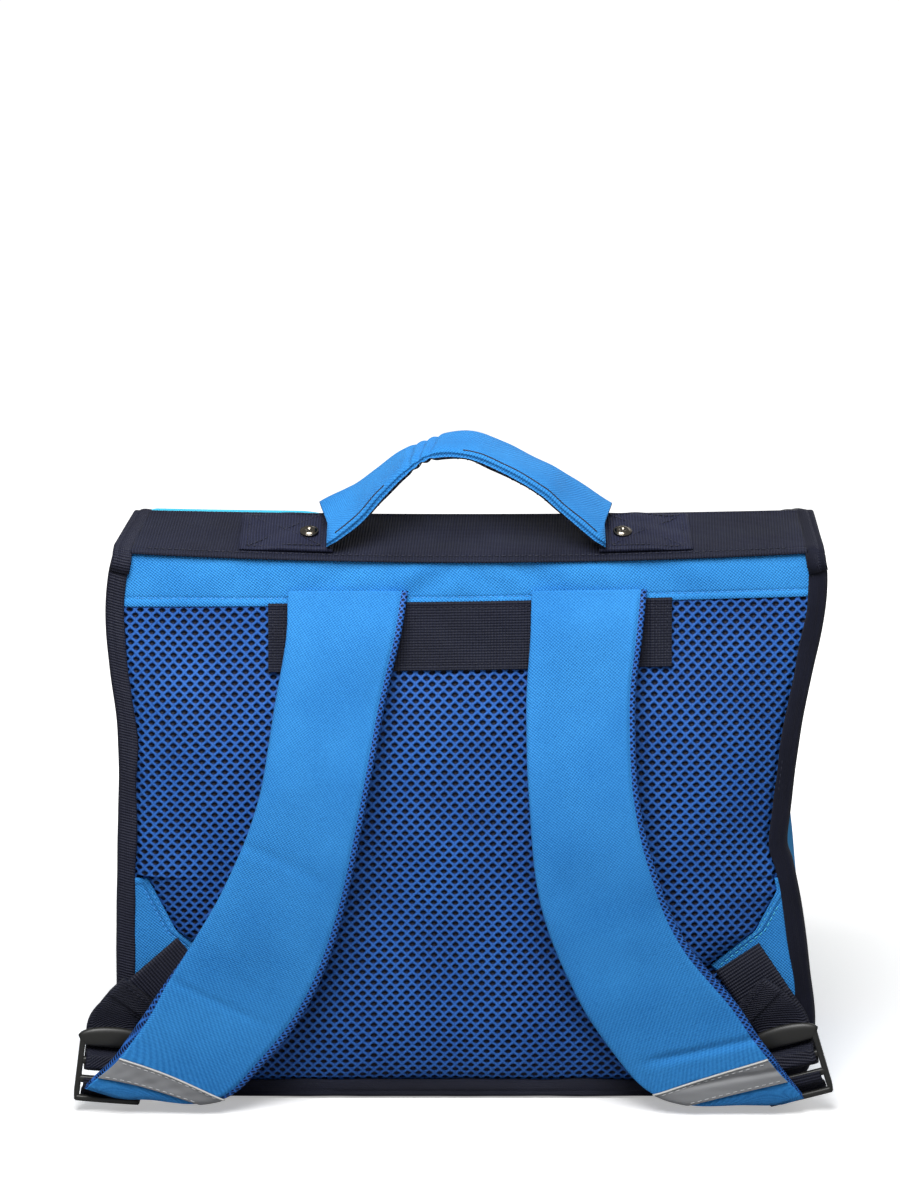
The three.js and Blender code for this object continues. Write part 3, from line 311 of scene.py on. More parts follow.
# One piece of several closed bodies, each given as its rings and turned outwards by itself
def bodiesPiece(name, bodies, finish, cover=None):
    points, quads, uvs, caps, pointCount = [], [], [], [], 0
    for rings in bodies:
        count, around = rings.shape[:2]
        uv = clothUv(np.concatenate([rings, rings[:, :1]], 1)).reshape(-1, 2)
        place, corners = gridQuads(count, around, closed=True)
        flat = rings.reshape(-1, 3)
        ends = [np.arange(around)[::-1], (count - 1) * around + np.arange(around)]
        if quadVolume(flat - flat.mean(0), place) < 0:
            place, corners, ends = place[:, ::-1], corners[:, ::-1], [end[::-1] for end in ends]
        quads.append(place + pointCount)
        uvs.append(uv[corners].reshape(-1, 2))
        caps += [(end + pointCount, uv[:around]) for end in ends]
        points.append(flat)
        pointCount += count * around
    points, quads, uvs = (np.concatenate(parts) for parts in (points, quads, uvs))
    return makePiece(name, points, quads, uvs, caps, finish, cover)


# Row of small sewn stitches along a path, each a rounded bead that dips in at both ends
def stitchRow(path, lift, length=2.6, space=1.0, radius=0.32, sink=0.1):
    path = np.asarray(path, float)
    lift = np.broadcast_to(np.asarray(lift, float), path.shape)
    run = runAlong(path)
    starts = np.arange(space, run[-1] - length, length + space)
    share = np.array([0.0, 0.14, 0.5, 0.86, 1.0])
    at = starts[:, None] + share * length
    centre = np.stack([np.interp(at, run, path[:, k]) for k in range(3)], -1)
    up = unit(np.stack([np.interp(at, run, lift[:, k]) for k in range(3)], -1))
    along = unit(centre[:, [-1]] - centre[:, [0]])
    side = unit(np.cross(along, up))
    size = radius * np.array([0.35, 0.9, 1.0, 0.9, 0.35])
    rise = radius * np.array([-0.7, 0.1, 0.35, 0.1, -0.7]) - sink * radius
    angle = np.arange(6) * math.pi / 3
    ring = (side[:, :, None] * np.cos(angle)[:, None] + up[:, :, None] * np.sin(angle)[:, None])
    return centre[:, :, None] + ring * size[:, None, None] + (up * rise[:, None])[:, :, None]


# One piece of many stitches, from rows of beads with 5 rings of 6 points each
def stitchPiece(name, rows, finish):
    beads = np.concatenate(rows)
    quads, _ = gridQuads(5, 6, closed=True)
    ends = np.array([(0, 3, 2, 1), (0, 5, 4, 3), (24, 25, 26, 27), (24, 27, 28, 29)])
    quads = np.concatenate([quads, ends])
    allQuads = (quads[None] + (np.arange(len(beads)) * 30)[:, None, None]).reshape(-1, 4)
    points = beads.reshape(-1, 3)
    uv = np.stack([points[:, 0] + points[:, 1], points[:, 2]], -1)
    return makePiece(name, points, allQuads, uv[allQuads], [], finish)


print("tools ready")


# A shader value that takes part in sums: each sign becomes a maths node of its tree,
# and calc(operation, ...) gives any other one
class Value:
    def __init__(self, tree, socket):
        self.tree, self.socket = tree, socket

    def calc(self, operation, *others):
        made = self.tree.nodes.new("ShaderNodeMath")
        made.operation = operation
        for socket, term in zip(made.inputs, (self, *others)):
            if isinstance(term, Value):
                self.tree.links.new(term.socket, socket)
            else:
                socket.default_value = term
        return Value(self.tree, made.outputs[0])

    def __add__(self, other):
        return self.calc("ADD", other)

    def __sub__(self, other):
        return self.calc("SUBTRACT", other)

    def __mul__(self, other):
        return self.calc("MULTIPLY", other)

    def __truediv__(self, other):
        return self.calc("DIVIDE", other)

    def __mod__(self, other):
        return self.calc("FLOORED_MODULO", other)

    def __pow__(self, other):
        return self.calc("POWER", other)


# Blend of two colours by a factor, as Blender's mix node does it
def blendColours(factor, low, high):
    tree = factor.tree
    made = tree.nodes.new("ShaderNodeMix")
    made.data_type = "RGBA"
    tree.links.new(factor.socket, made.inputs[0])
    for socket, value in ((made.inputs[6], low), (made.inputs[7], high)):
        if isinstance(value, tuple):
            socket.default_value = (*value, 1)
        else:
            tree.links.new(value, socket)
    return made.outputs[2]


# Factor of a noise on Object coordinates, size in metres
def cloud(tree, size, detail=3.0):
    coordinates = tree.nodes.new("ShaderNodeTexCoord")
    made = tree.nodes.new("ShaderNodeTexNoise")
    made.inputs["Scale"].default_value = 1 / size
    made.inputs["Detail"].default_value = detail
    tree.links.new(coordinates.outputs["Object"], made.inputs["Vector"])
    return Value(tree, made.outputs["Fac"])


# The piece's own cloth coordinates in millimetres, across and along
def clothCoordinates(tree):
    coordinates = tree.nodes.new("ShaderNodeTexCoord")
    parts = tree.nodes.new("ShaderNodeSeparateXYZ")
    tree.links.new(coordinates.outputs["UV"], parts.inputs[0])
    return Value(tree, parts.outputs[0]), Value(tree, parts.outputs[1])


# Waves from 0 to 1 along a distance: 0.5 + 0.5 sin(2 pi x / pitch)
def bands(distance, pitch):
    return (distance * (2 * math.pi / pitch)).calc("SINE").calc("MULTIPLY_ADD", 0.5, 0.5)


# New material with its shader's own values, and the tree that the looks are added to
def newFinish(name, **values):
    material = bpy.data.materials.new(name)
    material.use_nodes = True
    tree = material.node_tree
    shader = tree.nodes["Principled BSDF"]
    for socket, value in values.items():
        shader.inputs[socket.replace("_", " ")].default_value = value
    return material, tree, shader


# Colour into the shader, and bump from a height in millimetres
def dress(shader, colour, height, depth):
    tree = height.tree
    tree.links.new(colour, shader.inputs["Base Color"])
    bump = tree.nodes.new("ShaderNodeBump")
    bump.inputs["Strength"].default_value = 1
    bump.inputs["Distance"].default_value = depth * metres
    tree.links.new(height.socket, bump.inputs["Height"])
    tree.links.new(bump.outputs["Normal"], shader.inputs["Normal"])


# Fine diagonal weave: bands across the cloth at an angle, broken by a second set and by noise
weave = {"pitch": 1.2, "angle": 52, "depth": 0.3, "ridge": 0.58, "fuzz": 0.0009, "patch": 0.035}


# Cloth of fine slanted ribs: ridge * ribs across + the rest * ribs along, with fuzz and soft patches
def twill(name, light, dark):
    material, tree, shader = newFinish(name, Roughness=0.8, Sheen_Weight=0.03,
                                       Sheen_Roughness=0.4, Specular_IOR_Level=0.22)
    u, v = clothCoordinates(tree)
    turn = math.radians(weave["angle"])
    across = u * math.cos(turn) + v * math.sin(turn)
    along = v * math.cos(turn) - u * math.sin(turn)
    ridge = bands(across, weave["pitch"]) * weave["ridge"]
    height = ridge + bands(along, weave["pitch"] * 1.1) * (1 - weave["ridge"])
    fuzz = cloud(tree, weave["fuzz"], 2)
    patch = cloud(tree, weave["patch"], 3) - 0.5
    tone = height * 0.62 + fuzz * 0.5 - 0.04 + patch * 0.5
    dress(shader, blendColours(tone, dark, light), height + fuzz * 0.5, weave["depth"])
    return material


# Ribbed tape: raised ribs one way, fine threads the other way, and a little wear in patches
def webbing(name, light, dark, rib, thread, depth, ribsAlong=True, share=0.75):
    material, tree, shader = newFinish(name, Roughness=0.62, Sheen_Weight=0.02,
                                       Sheen_Roughness=0.35, Specular_IOR_Level=0.25)
    u, v = clothCoordinates(tree)
    if not ribsAlong:
        u, v = v, u
    height = bands(v, rib) * share + bands(u, thread) * (1 - share)
    fuzz = cloud(tree, 0.0008, 2)
    tone = height * 0.6 + fuzz * 0.5 + (cloud(tree, 0.03, 3) - 0.5) * 0.6
    dress(shader, blendColours(tone, dark, light), height + fuzz * 0.4, depth)
    return material


# Open spacer mesh: oval holes in rows, every second row set half a pitch over
airMesh = {"pitch": 5.8, "row": 2.95, "holeWide": 3.3, "holeHigh": 2.3, "depth": 1.1}


# Distance from the nearest hole's middle: the root of x^2 + y^2, each over the hole's half size
def holeDistance(u, v, root, least, scale=1.0):
    pitch, row = airMesh["pitch"] * scale, airMesh["row"] * scale
    wide, high = airMesh["holeWide"] * scale / 2, airMesh["holeHigh"] * scale / 2

    def away(a, b):
        x = (a % pitch - pitch / 2) / wide
        y = (b % (2 * row) - row) / high
        return root(x ** 2.0 + y ** 2.0)

    return least(away(u, v), away(u + pitch / 2, v + row))


# 1 in the middle of a hole and 0 on the strands
def meshHole(u, v):
    return 1 - ease((holeDistance(u, v, np.sqrt, np.minimum) - 0.55) / 0.65)


# The same holes in nodes, painted dark inside as shade, with painted highlights on the threads along both
# diagonals between them
def meshFinish(name, strand, paintedHighlight, hole, scale=1.0):
    material, tree, shader = newFinish(name, Roughness=0.55, Sheen_Weight=0.02,
                                       Sheen_Roughness=0.4, Specular_IOR_Level=0.2)
    u, v = clothCoordinates(tree)
    far = holeDistance(u, v, lambda a: a.calc("SQRT"), lambda a, b: a.calc("MINIMUM", b), scale)
    reach = tree.nodes.new("ShaderNodeMapRange")
    reach.interpolation_type = "SMOOTHSTEP"
    reach.inputs["From Min"].default_value = 0.80
    reach.inputs["From Max"].default_value = 1.12
    tree.links.new(far.socket, reach.inputs["Value"])
    solid = Value(tree, reach.outputs[0])
    column, row = u / (airMesh["pitch"] * scale), v / (2 * airMesh["row"] * scale)
    rising, falling = bands(column + row - 0.25, 1.0), bands(column - row - 0.25, 1.0)
    plaitAndHighlight = rising.calc("MAXIMUM", falling)
    # Painted highlight: bright lines along the diagonal threads, flecked by fine noise
    tone = plaitAndHighlight ** 3.2 * (cloud(tree, 0.0007, 2) + 0.1)
    patch = (cloud(tree, 0.03, 3) - 0.5) * 0.5
    colour = blendColours(tone + patch, strand, paintedHighlight)
    # The holes take the near-black colour, a painted shade; the diagonal lines also raise a little bump
    dress(shader, blendColours(solid, hole, colour), solid + plaitAndHighlight * 0.35, 0.5)
    return material


# Plain matt finish with a little grain, for thread, lining and moulded parts
def plain(name, colour, roughness, grain=0.15, size=0.0012, depth=0.03, **values):
    material, tree, shader = newFinish(name, Roughness=roughness, **values)
    fuzz = cloud(tree, size, 3)
    dark = tuple(c * (1 - grain) for c in colour)
    light = tuple(min(c * (1 + grain), 1) for c in colour)
    dress(shader, blendColours(fuzz, dark, light), fuzz, depth)
    return material


blueTwill = twill("blue_twill", (0.050, 0.330, 0.775), (0.004, 0.119, 0.415))
# A lighter copy of the straps' blue cloth for the band: painted light
bandTwillLit = twill("band_twill_lit", (0.060, 0.390, 0.90), (0.0045, 0.140, 0.48))
cyanTwill = twill("cyan_twill", (0.08, 0.70, 0.95), (0.015, 0.40, 0.66))
sideTwill = twill("side_twill", (0.05, 0.43, 0.90), (0.008, 0.20, 0.56))
# Mesh finishes: thread colour, painted highlight on the threads, and painted shade in the holes
blueMesh = meshFinish("blue_mesh", (0.004, 0.034, 0.18), (0.045, 0.20, 0.68), (0.0012, 0.0035, 0.016))
blueBraid = meshFinish("blue_braid", (0.004, 0.048, 0.24), (0.045, 0.21, 0.70), (0.0012, 0.006, 0.03), 0.55)
navyMesh = meshFinish("navy_mesh", (0.010, 0.012, 0.026), (0.03, 0.034, 0.06), (0.002, 0.002, 0.004), 0.6)
navyBinding = webbing("navy_binding", (0.017, 0.019, 0.040), (0.0025, 0.003, 0.008), 1.5, 1.1, 0.35)
navyWide = webbing("navy_wide_tape", (0.018, 0.021, 0.045), (0.0012, 0.0015, 0.005), 1.5, 1.3, 0.4, False)
navyTab = webbing("navy_tab_tape", (0.024, 0.028, 0.064), (0.0016, 0.002, 0.007), 1.5, 1.3, 0.4, False)
navyRibbed = webbing("navy_ribbed_tape", (0.018, 0.020, 0.038), (0.003, 0.0035, 0.008), 1.7, 1.2, 0.4)
navyCross = webbing("navy_cross_tape", (0.0135, 0.0165, 0.037), (0.0009, 0.0012, 0.004), 1.45, 1.6, 0.4,
                    share=0.5)
navyThread = plain("navy_thread", (0.010, 0.012, 0.028), 0.6)
blueThread = plain("blue_thread", (0.07, 0.36, 0.82), 0.55)
cyanThread = plain("cyan_thread", (0.09, 0.55, 0.75), 0.55)
# Grey thread for the reflective band's stitches, also used for the painted glints on the handle's lining
greyThreadAndGlints = plain("grey_thread_and_glints", (0.42, 0.43, 0.44), 0.55)
navyLining = plain("navy_lining", (0.014, 0.016, 0.03), 0.8)
reflectiveGrey = plain("reflective_grey", (0.205, 0.21, 0.22), 0.6, 0.05, 0.0004, 0.01)
reflectivePiping = plain("reflective_piping", (0.55, 0.54, 0.51), 0.5, 0.08)
blackPlastic = plain("black_plastic", (0.014, 0.014, 0.013), 0.42, 0.2, 0.0006, 0.02)
darkMetal = plain("dark_metal", (0.20, 0.18, 0.15), 0.2, 0.1, 0.002, 0.004, Metallic=1.0)
print("finishes ready")


# Height of the fold between the back and the top
def foldZ(x):
    return backHeight - bag["foldDrop"] + bag["foldSag"] * (x / halfWidth) ** 2


# Height of the seam between the mesh and the band above it
def seamZ(x):
    share = x / halfWidth
    return backHeight * (0.925 + 0.010 * share + 0.005 * share * share)


# Half width of an outline at a height, drawn in by an inset and rounded at the foot
def edgeX(rows, side, z, inset=0.0):
    full = halfWidth * tableAt(rows, z / backHeight)[..., 0 if side < 0 else 1] - inset
    radius = bag["corner"] - inset
    drop = radius - np.maximum(z - bag["footGap"] - inset, 0)
    curved = full - radius + np.sqrt(np.maximum(radius * radius - drop * drop, 0))
    return side * np.where(drop <= 0, full, curved)


# Path round the left side, the foot and the right side, with its outward directions
def edgePath(rows, topLeft, topRight, sideSteps=110, footSteps=130):
    heel = bag["footGap"] + bag["corner"]
    walls = []
    for side, top in ((left, topLeft), (right, topRight)):
        z = np.linspace(top, heel, sideSteps)
        wall = np.stack([edgeX(rows, side, z), 0 * z, z], -1)
        centre = wall[-1, 0] - side * bag["corner"]
        angle = np.linspace(0, math.pi / 2, 15)[1:]
        arc = np.stack([centre + side * bag["corner"] * np.cos(angle), 0 * angle,
                        heel - bag["corner"] * np.sin(angle)], -1)
        line = np.concatenate([wall, arc])
        walls.append(line if side < 0 else line[::-1])
    share = np.linspace(0, 1, footSteps)[1:-1, None]
    foot = mix(walls[0][-1], walls[1][0], share)
    path = np.concatenate([walls[0], foot, walls[1]])
    along = unit(np.gradient(path, axis=0))
    return path, np.stack([along[:, 2], 0 * along[:, 0], -along[:, 0]], -1)


# Sizes of a folded tape
tapeFold = {"wall": 1.3, "puff": 0.55, "seamIn": 2.2, "seamDepth": 0.35, "wobble": 0.35, "spare": 0.5}


# Folded tape: a soft section of insets and lifts, carried along a path by two directions.
# Its section runs over the near lip, round the fold, over the far lip and back inside.
def foldedTape(name, path, inward, lift, nearLift, farLift, lip, farLip, seed, cover):
    run = runAlong(path)[:, None]
    wobble = tapeFold["wobble"] * softNoise(run, 0 * run, 38, seed)
    swelling = 1 + 0.6 * softNoise(run, 0 * run, 32, seed + 1)
    t = np.linspace(0, 1, 11)
    crown = tapeFold["puff"] * np.sin(math.pi * np.clip(t * 1.15, 0, 1)) ** 0.8
    seam = tapeFold["seamDepth"] * bell((1 - t) * lip, tapeFold["seamIn"], 0.7)
    face = crown * swelling - seam
    turn = np.linspace(0, math.pi, 9)[1:-1]
    half, centre = (nearLift - farLift) / 2, (nearLift + farLift) / 2
    edgeIn = half * 0.55
    wall = tapeFold["wall"]
    inside = wall + tapeFold["spare"]
    flat = np.zeros((len(path), 1))
    inset = np.concatenate([
        flat + mix(lip, edgeIn, t) + wobble * (1 - t),
        flat + edgeIn * (1 - np.sin(turn)) - 0.3 * wobble,
        flat + mix(edgeIn, farLip, t) + wobble * t,
        flat + np.array([farLip, inside, inside, lip]) + wobble * np.array([1, 0, 0, 1]),
    ], 1)
    out = np.concatenate([
        nearLift + face,
        flat + centre + half * np.cos(turn),
        farLift - 0.4 * face[:, ::-1],
        flat + np.array([farLift + wall, farLift + wall, nearLift - wall, nearLift - wall]),
    ], 1)
    rings = path[:, None] + inset[..., None] * inward[:, None] + out[..., None] * lift[:, None]
    sweptPiece(name, rings, navyBinding, cover)
    sewn = path + inward * (lip - tapeFold["seamIn"]) + lift * (nearLift - 0.05)
    stitchPiece(name.replace("_tape", "_stitches"), [stitchRow(sewn, lift)], navyThread)


# Back binding, open at the top, where the flap's own tape laps over it
topLeft, topRight = foldZ(-halfWidth) - 2.6, foldZ(halfWidth) - 2.6
backPath, backOut = edgePath(edgeRows, topLeft, topRight)
towardsCamera = np.broadcast_to(np.array([0.0, -1.0, 0.0]), backPath.shape)
nearLift = halfDepth + 2.1 + bag["tape"]
farLift = halfDepth - bag["board"] - gap - bag["tape"]
foldedTape("back_binding_tape", backPath, -backOut, towardsCamera, nearLift, farLift,
           bag["lip"], bag["innerLip"], 3, "back_binding")

# Mesh pad on the back
pad = {"rim": 1.0, "puff": 10.5, "ramp": 38.0, "lowRamp": 75.0, "topRamp": 90.0, "swell": 0.8}


# Inner edge of a corner patch at a height, far away above it
def wingX(z):
    share = z / backHeight
    inside = halfWidth * np.interp(share, wingRows[:, 0], wingRows[:, 1])
    below = halfWidth * wingRows[0, 1] + (wingRows[0, 0] * backHeight - z) * 1.5
    return np.where(share < wingRows[0, 0], below, np.where(share > wingRows[-1, 0], 1e4, inside))


# The same edge, kept 2 mm inside the back tape's lip where the patch has run out to the side
def wingEdge(side, z):
    lip = np.abs(edgeX(edgeRows, side, z, bag["lip"] + gap))
    wing = wingX(z)
    return np.where(wing > 1e3, wing, np.minimum(wing, lip - 2))


# Thin under the tape and the patches, swelling away from them: rim + puff * least ramp * top ramp
def padThickness(x, z):
    lip = bag["lip"] + 2 * gap
    total = 0
    for side in (left, right):
        fromSide = np.abs(edgeX(edgeRows, side, z, lip)) - np.abs(x)
        fromWing = wingEdge(side, z) - np.abs(x)
        fromFoot = z - bag["footGap"] - lip
        below = z < wingRows[2, 0] * backHeight
        wing = np.where(below, ease(fromWing / pad["lowRamp"]), swell(fromWing / pad["ramp"]))
        edge = swell(np.minimum(fromSide, fromFoot) / pad["ramp"])
        rise = np.minimum(edge, wing) * ease((seamZ(x) - z) / pad["topRamp"])
        total = total + np.where(np.sign(x) * side >= 0, rise, 0) * np.where(x == 0, 0.5, 1)
    return pad["rim"] + pad["puff"] * total


# Place across the back at a share from -1 to 1, just inside its tape
def backX(share, z):
    inset = bag["tape"] + 2 * gap
    leftX, rightX = edgeX(edgeRows, left, z, inset), edgeX(edgeRows, right, z, inset)
    return np.abs(share) * np.where(share < 0, leftX, rightX)


# Height of the pad's face above its seat, with its soft unevenness
def padLift(x, z):
    thick = padThickness(x, z)
    return thick + ease((thick - 2.5) / 5) * pad["swell"] * softNoise(x, z, 85, 11)


v, u = shareGrid(330, 430)
u = 2 * u - 1
z = mix(bag["footGap"] + bag["tape"] + 2 * gap, seamZ(u * halfWidth) - gap, v)
x = backX(u, z)
padFace = np.stack([x, backFace - gap - padLift(x, z), z], -1)
padUv = padFace[..., [0, 2]] + 0.5 * softNoise(padFace[..., 0], padFace[..., 2], 90, 13)[..., None]
inwards = gridNormals(padFace)
inwards = inwards * np.where(inwards[..., 1:2] < 0, -1, 1)
padFace = padFace + inwards * (airMesh["depth"] * meshHole(padUv[..., 0], padUv[..., 1]))[..., None]
meshPad = padPiece("mesh_pad_cloth", padFace, backFace - gap, blueMesh, "mesh_pad", padUv)
print("back and mesh pad ready")

# Blue band above the mesh, with soft slanting pulls under the handle
band = {"wall": 1.5, "overlap": 2.2, "pull": 0.9, "crown": 0.5, "tuck": 1.5, "foot": 1.15, "seamRow": 7}
v, u = shareGrid(46, 300)
u = 2 * u - 1
x = backX(u, mix(seamZ(u * halfWidth), foldZ(u * halfWidth), v))
z = mix(seamZ(x) - band["overlap"], foldZ(x) + band["tuck"], v)
pulls = bell(np.abs(x), 55, 70) * softNoise(x * 0.75 + z * 0.9 * np.sign(x), z * 0.2, 26, 21)
arch = np.sin(math.pi * v)
lift = band["wall"] + band["crown"] * arch + band["pull"] * pulls * arch ** 0.7
lift = lift + 0.25 * bell(v, 0.06, 0.05) - 0.35 * bell(v, 0.16, 0.03)
tucked = 2.2 * ease((z - foldZ(x) + 1.5) / 3.0)
seat = backFace - gap - np.where(v < 0.12, band["foot"], 0) + tucked
face = np.stack([x, backFace - gap - lift + tucked, z], -1)
# The band wears the lighter copy of the blue cloth, a painted light
sheetPiece("top_band_cloth", face, np.stack([x, seat, z], -1), bandTwillLit, "top_band")
seam = face[band["seamRow"], 10:-10] + (0, -0.1, 0)
stitchPiece("top_band_stitches", [stitchRow(seam, (0, -1, 0), 2.2, 1.0, 0.2)], blueThread)

# Corner patches with a folded inner edge and two rows of top stitching
wing = {"wall": 1.2, "hem": 3.2, "hemRise": 0.5, "seams": (1.6, 5.0), "rows": 90, "columns": 40}
for name, side in sides:
    rise = (wingRows[-1, 0] - wingRows[0, 0]) * backHeight
    v, t = shareGrid(wing["rows"], wing["columns"])
    z = wingRows[0, 0] * backHeight + rise * mix(0.02, 0.98, v) + 0 * t
    outer = np.abs(edgeX(edgeRows, side, z, bag["lip"] + 2 * gap)) + 1.5
    inner = wingEdge(side, z) + gap
    x = side * mix(inner, outer, t)
    fromEdge = np.minimum(np.abs(x) - inner, np.minimum(v, 1 - v) * rise * 1.2)
    hem = wing["hemRise"] * (1 - ease((fromEdge - wing["hem"]) / 0.8)) * ease(fromEdge / 0.6)
    dents = sum(0.3 * bell(fromEdge, seam, 0.5) for seam in wing["seams"])
    lift = wing["wall"] + hem - dents + 0.25 * softNoise(x, z, 40, 31 + side)
    base = backFace - 2 * gap - pad["rim"]
    face, under = np.stack([x, base - lift, z], -1), np.stack([x, base + 0 * x, z], -1)
    sheetPiece(f"corner_patch_{name}", face, under, blueTwill, f"corner_wing_{name}", face[..., [0, 2]])
    lines = []
    for inset in wing["seams"]:
        high = z[6:-6, 0]
        place = side * (wingEdge(side, high) + gap + inset)
        keep = np.abs(place) < np.abs(edgeX(edgeRows, side, high, bag["lip"] + 2))
        path = np.stack([place, base - wing["wall"] - 0.05 + 0 * high, high], -1)[keep]
        lines.append(stitchRow(path, (0, -1, 0), 2.3, 1.0, 0.24))
    stitchPiece(f"corner_patch_stitches_{name}", lines, cyanThread if side > 0 else blueThread)
print("band and patches ready")

# Gusset: both sides and the bottom in one soft wall
gusset = {
    "wallShare": 0.36, "heelShare": 0.09, "under": 3.0, "rise": 10.0, "flapWall": 2.5, "soft": 1.3,
    "pinch": 5.0, "pinchAt": 0.56, "pinchReach": 0.13, "tuck": 1.3, "wall": 1.8,
    "dents": ((left, -0.25, 0.62, 0.024, 0.45, 0.20), (left, 0.40, 0.30, 0.018, 0.35, 0.14),
              (right, -0.15, 0.72, 0.026, 0.50, 0.16), (right, 0.45, 0.36, 0.018, 0.35, 0.15)),
}
gussetBack = backFace + bag["board"] + 2 * gap + bag["tape"] - gusset["tuck"]
gussetFront = halfDepth - bag["board"] - 2 * gap - bag["tape"] + gusset["tuck"]


# Wall of the gusset: the back, front and middle outlines blended by depth, less the dents,
# the pinch and soft folds, which all fade towards the tapes
def gussetX(side, y, z):
    share = y / halfDepth
    back = np.abs(edgeX(edgeRows, side, z, bag["cloth"]))
    front = np.abs(edgeX(frontRows, side, z, bag["cloth"]))
    middle = np.abs(edgeX(middleRows, side, z))
    blend = ease((0.92 - np.abs(share)) / 0.55)
    x = mix(np.where(share < 0, back, front), middle, blend)
    for dentSide, dentY, dentZ, depth, reachY, reachZ in gusset["dents"]:
        if dentSide == side:
            far = ((share - dentY) / reachY) ** 2 + ((z / backHeight - dentZ) / reachZ) ** 2
            x = x - halfWidth * depth * np.exp(-2 * far) * blend
    folds = softNoise(y + 0.25 * z, z * 0.35, 34, 41 + side) * ease((z - 35) / 60)
    if side > 0:
        x = x - gusset["pinch"] * bell(z / backHeight, gusset["pinchAt"], gusset["pinchReach"]) * blend
    return side * (x - gusset["soft"] * (0.5 + 0.5 * folds) * ease((0.97 - np.abs(share)) / 0.25))


# Upper end of the wall: the flap's height less its wall and a gap, falling to the front's height
def gussetTop(y):
    top = flapRows[flapRows[:, 0] < 0.4]
    flapTop = backHeight * tableAt(top[:, [1, 2]], y / halfDepth)[..., 0]
    down = bag["frontHeight"] + gusset["rise"]
    return mix(flapTop - gusset["flapWall"] - gusset["under"], down, ease((y / halfDepth - 0.45) / 0.5))


# One strip round the bag: u runs down the left wall, round its heel, along the bottom and up the
# right wall; v runs from back to front. The heel is centre + radius * (cos, -sin) of its angle
def gussetSurface(u, v):
    y = mix(gussetBack, gussetFront, v)
    heel = bag["corner"]
    side = np.where(u < 0.5, -1.0, 1.0)
    t = np.minimum(u, 1 - u)
    top = gussetTop(y)
    z = mix(top, heel, np.clip(t / gusset["wallShare"], 0, 1))
    wallX = np.where(side < 0, gussetX(left, y, z), gussetX(right, y, z))
    angle = np.clip((t - gusset["wallShare"]) / gusset["heelShare"], 0, 1) * math.pi / 2
    heelX = np.where(side < 0, gussetX(left, y, 0 * z + heel), gussetX(right, y, 0 * z + heel))
    centre = heelX - side * heel
    end = gusset["wallShare"] + gusset["heelShare"]
    flat = np.clip((t - end) / (0.5 - end), 0, 1)
    onWall, onHeel = t <= gusset["wallShare"], t <= end
    x = np.where(onWall, wallX, np.where(onHeel, centre + side * heel * np.cos(angle), centre * (1 - flat)))
    z = np.where(onWall, z, np.where(onHeel, heel - heel * np.sin(angle), 0))
    return np.stack([x, y + 0 * x, z], -1)


u = stretched((0, 0.36, 0.45, 0.55, 0.64, 1), (110, 24, 60, 24, 110))
outer = gussetSurface(u[:, None], np.linspace(0, 1, 60)[None, :])
run = unit(np.gradient(outer, axis=0) * (1, 0, 1))
inner = outer + np.stack([-run[..., 2], 0 * run[..., 0], run[..., 0]], -1) * gusset["wall"]
inner[..., 2] = np.maximum(inner[..., 2], 0)
sheetPiece("gusset_cloth", outer, inner, sideTwill, "gusset")

# Front wall and its binding, mostly under the flap
frontTop = bag["frontHeight"]
frontPath, frontOut = edgePath(frontRows, frontTop, frontTop, 90, 110)
awayFromCamera = np.broadcast_to(np.array([0.0, 1.0, 0.0]), frontPath.shape)
foldedTape("front_binding_tape", frontPath, -frontOut, awayFromCamera,
           halfDepth + gap + bag["tape"], halfDepth - bag["board"] - gap - bag["tape"],
           bag["lip"], bag["innerLip"], 5, "front_binding")
panel = {"foot": 2.2, "top": 0.5, "inset": 2.1, "bulge": 0.5, "soft": 0.2, "flat": 0.1}
v, u = shareGrid(100, 140)
u = 2 * u - 1
z = mix(bag["footGap"] + panel["foot"], frontTop - panel["top"], v) + 0 * u
x = u * np.abs(edgeX(frontRows, right, z, panel["inset"]))
bulge = panel["bulge"] * np.sin(math.pi * v) * (1 - u ** 2) + panel["soft"] * softNoise(x, z, 60, 51)
bulge = bulge * ease((1 - np.abs(u)) / panel["flat"]) * ease(v / panel["flat"])
face = np.stack([x, halfDepth + bulge, z], -1)
padPiece("front_panel_cloth", face, halfDepth - bag["board"], cyanTwill, "front_panel")
print("gusset and front ready")

# Flap over the top and down the front
flap = {"wall": 2.5, "corner": 20.0, "inset": 2.4, "soft": 0.7, "ruck": 2.6}


# A place on the flap: the rows' places at a share along it, mixed from edge to edge by a share
# across, drawn in round the two lower corners by radius - root(radius^2 - drop^2)
def flapPlace(across, along, inset=0.0):
    first = tableAt(flapRows[:2], along)
    rest = tableAt(flapRows[1:], along)
    row = np.where((along < flapRows[1, 0])[..., None], first, rest)
    y, z, leftShare, rightShare, sag = np.moveaxis(row, -1, 0)
    bottom = flapRows[-1, 2] * backHeight + inset
    z = z * backHeight
    low = along > 0.7
    z = np.where(low, np.maximum(z, bottom), z)
    radius = flap["corner"] - inset
    drop = radius - (z - bottom)
    draw = np.where((drop > 0) & low, radius - np.sqrt(np.maximum(radius * radius - drop * drop, 0)), 0)
    x = mix(inset + draw - leftShare * halfWidth, rightShare * halfWidth - inset - draw, (across + 1) / 2)
    return np.stack([x, y * halfDepth + 0 * x, z + sag * bag["foldSag"] * (x / halfWidth) ** 2], -1)


# Direction away from the flap's face: the cross product of short steps across and along it
def flapNormal(across, along):
    along = np.clip(along, 0.004, 0.86)
    middle = across * 0.94
    stepAcross = flapPlace(middle + 0.05, along) - flapPlace(middle - 0.05, along)
    stepAlong = flapPlace(0 * middle, along + 0.004) - flapPlace(0 * middle, along - 0.004)
    return unit(np.cross(stepAcross, stepAlong))


